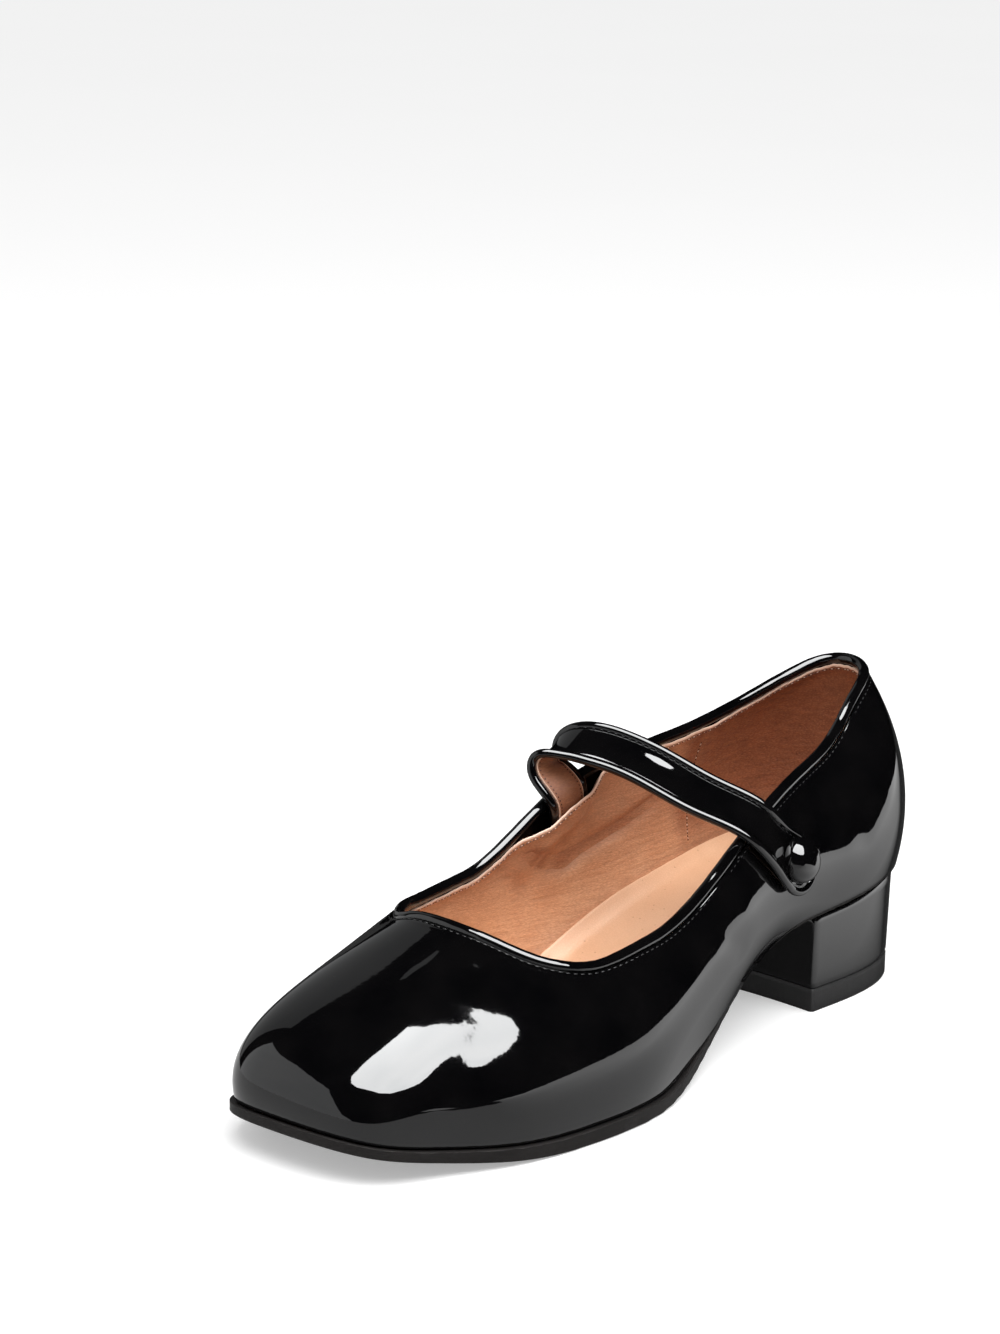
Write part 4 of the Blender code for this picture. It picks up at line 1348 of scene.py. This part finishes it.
FLOOR_HALF = 9.0
floor_finish = Finish("floor_pale")
floor_material = floor_finish.done(
    Base_Color=floor_finish.mixed(floor_finish.noise(400.0), (0.80, 0.80, 0.80), (0.82, 0.82, 0.82)),
    Roughness=0.9,
    Specular_IOR_Level=0.0,
    Emission_Color=(1.0, 1.0, 1.0),
    Emission_Strength=0.35,
)
floor_turns = [(-1, -1), (1, -1), (1, 1), (-1, 1)]
floor_corners = [(x * FLOOR_HALF, y * FLOOR_HALF, 0.0) for x, y in floor_turns]
floor = stage_piece("floor", floor_corners, floor_material)
floor.visible_glossy = False

TABLE = [
    (-3.0, -1.2), (-0.10, -0.68), (0.27, -0.50), (0.45, -0.27), (0.42, -0.05), (3.0, 0.05),
    (3.0, 0.40), (0.50, 0.33), (0.18, 0.27), (0.30, 0.60), (0.80, 2.0), (-3.0, 2.0),
]
TABLE_SINK = 0.0002
table_finish = Finish("table_pale")
table_side = table_finish.along(table_finish.place, 0)
table_back = table_finish.along(table_finish.place, 1)
table_cloud = table_finish.noise(400.0)
# Painted shade: under the shoe's medial side the table is drawn near black, where the shoe's shade
# falls on the floor that the gloss sees.
painted_shade_under_arch = table_side.between(0.045, 0.020) * table_back.between(-0.03, 0.0)
# Painted light: beside the heel the table glows, a brighter pool of floor for the gloss to see;
# elsewhere it barely glows.
painted_glow_beside_heel = table_side.between(0.045, 0.13) * table_back.between(-0.08, 0.08)
table_white = table_finish.mixed(table_cloud, (0.93, 0.93, 0.93), (0.95, 0.95, 0.95))
table_material = table_finish.done(
    Base_Color=table_finish.mixed(painted_shade_under_arch, table_white, (0.04, 0.04, 0.04)),
    Roughness=0.9,
    Specular_IOR_Level=0.0,
    Emission_Color=table_finish.mixed(painted_glow_beside_heel, (0.02, 0.02, 0.02), (1.0, 1.0, 1.0)),
    Emission_Strength=1.2,
)
table = stage_piece("table", [(x, y, -TABLE_SINK) for x, y in TABLE], table_material)

SOFTBOX_HEIGHT = 1.2
SOFTBOX_RADIANCE = 20.0
SOFTBOX = [
    (-0.37, 0.15), (-0.36, -0.2), (-0.33, -0.6), (-0.26, -0.8), (-0.1, -0.9), (0.6, -0.87),
    (1.05, -0.72), (1.5, -0.32), (1.66, 0.0), (1.5, 0.12), (1.3, 0.17), (1.05, 0.225),
    (0.9, 0.26), (0.72, 0.29), (0.6, 0.305), (0.45, 0.325), (0.33, 0.31), (0.22, 0.275),
    (0.12, 0.25), (-0.05, 0.2), (-0.15, 0.17),
]


def glow(name, radiance):
    """Even light, a little uneven as a cloth diffuser is."""
    light = Finish(name)
    lit = light.add("ShaderNodeAttribute", {"attribute_name": "lit"}, {}, "Fac")
    cloth = light.mixed(light.noise(500.0, 1.0), (0.80, 0.82, 0.83), (1.0, 1.0, 1.0))
    return light.done(
        Base_Color=(0.0, 0.0, 0.0),
        Specular_IOR_Level=0.0,
        Emission_Color=light.mixed(lit, (0.0, 0.0, 0.0), cloth),
        Emission_Strength=radiance,
    )


def only_in_gloss(sheet):
    """The gloss shows the sheet, and nothing else does."""
    sheet.visible_camera = False
    sheet.visible_diffuse = False
    sheet.visible_shadow = False


softbox_corners = [(x, y, SOFTBOX_HEIGHT) for x, y in SOFTBOX]
only_in_gloss(stage_piece("softbox", softbox_corners, glow("softbox_glow", SOFTBOX_RADIANCE)))
only_in_gloss(table)

WALL_DISTANCE = 1.2


def wall(name, facing, corners, radiance, soft=0.0):
    """Upright sheet round the shoe, from turns off the toe to the lateral side and rises."""
    around = []
    for turn, rise in corners:
        distance = WALL_DISTANCE / math.cos(math.radians(turn - facing))
        angle = math.radians(turn)
        height = distance * math.tan(math.radians(rise))
        around.append((distance * math.sin(angle), -distance * math.cos(angle), height))
    only_in_gloss(stage_piece(name, around, glow(name + "_glow", radiance), soft))


REFLECTOR = [(-76, -9), (-76, 44), (-48, 47), (-22, 38), (-9, 18), (-3, 6), (6, 0), (8, -4)]
MEDIAL_WALL = [(-122, -20), (-122, 52), (-90, 50), (-90, -15)]
LATERAL_WALL = [(128, 22), (128, 60), (170, 60), (170, 6), (148, 5), (146, -16), (128, -16)]
BACK_WALL = [(157, -12), (157, 40), (222, 40), (222, -12)]
wall("reflector", -40.0, REFLECTOR, 1.25)
wall("medial_wall", -106.0, MEDIAL_WALL, 0.35)
wall("lateral_wall", 140.0, LATERAL_WALL, 0.26, 0.09)
wall("back_wall", 180.0, BACK_WALL, 8.0, 0.14)


def panel(name, centre, aim, size, radiance):
    """Soft rectangular light of an even radiance, looking at a point."""
    light = bpy.data.lights.new(name, "AREA")
    light.shape = "RECTANGLE"
    light.size, light.size_y = size
    light.energy = radiance * math.pi * size[0] * size[1]
    made = in_scene(name, light)
    made.location = centre
    made.rotation_euler = (Vector(centre) - Vector(aim)).to_track_quat("Z", "Y").to_euler()
    made.visible_camera = False
    return made


key = panel("key", (0.5, -0.2, 1.2), (0.0, 0.0, 0.0), (1.6, 1.0), 4.0)
key.visible_glossy = False

WORLD_STRENGTH = 0.65
world = bpy.data.worlds.new("studio")
bpy.context.scene.world = world
world.use_nodes = True
backdrop = world.node_tree.nodes["Background"]
backdrop.inputs["Color"].default_value = (1.0, 1.0, 1.0, 1.0)
backdrop.inputs["Strength"].default_value = WORLD_STRENGTH
world.cycles_visibility.glossy = False
bpy.context.scene.view_settings.view_transform = "Standard"

CAMERA_PLACE = (0.5877, -0.7269, 0.3479)
CAMERA_HEADING = math.radians(40.93)
CAMERA_PITCH = math.radians(14.195)
CAMERA_ROLL = math.radians(1.061)
camera_data = bpy.data.cameras.new("camera")
camera_data.sensor_width = 36.0
camera_data.lens = 94.45
camera = in_scene("camera", camera_data)
camera.location = CAMERA_PLACE
camera.rotation_mode = "QUATERNION"
camera.rotation_quaternion = (
    Euler((0.0, 0.0, CAMERA_HEADING)).to_quaternion()
    @ Euler((math.pi / 2.0 - CAMERA_PITCH, 0.0, 0.0)).to_quaternion()
    @ Euler((0.0, 0.0, CAMERA_ROLL)).to_quaternion()
)
bpy.context.scene.camera = camera
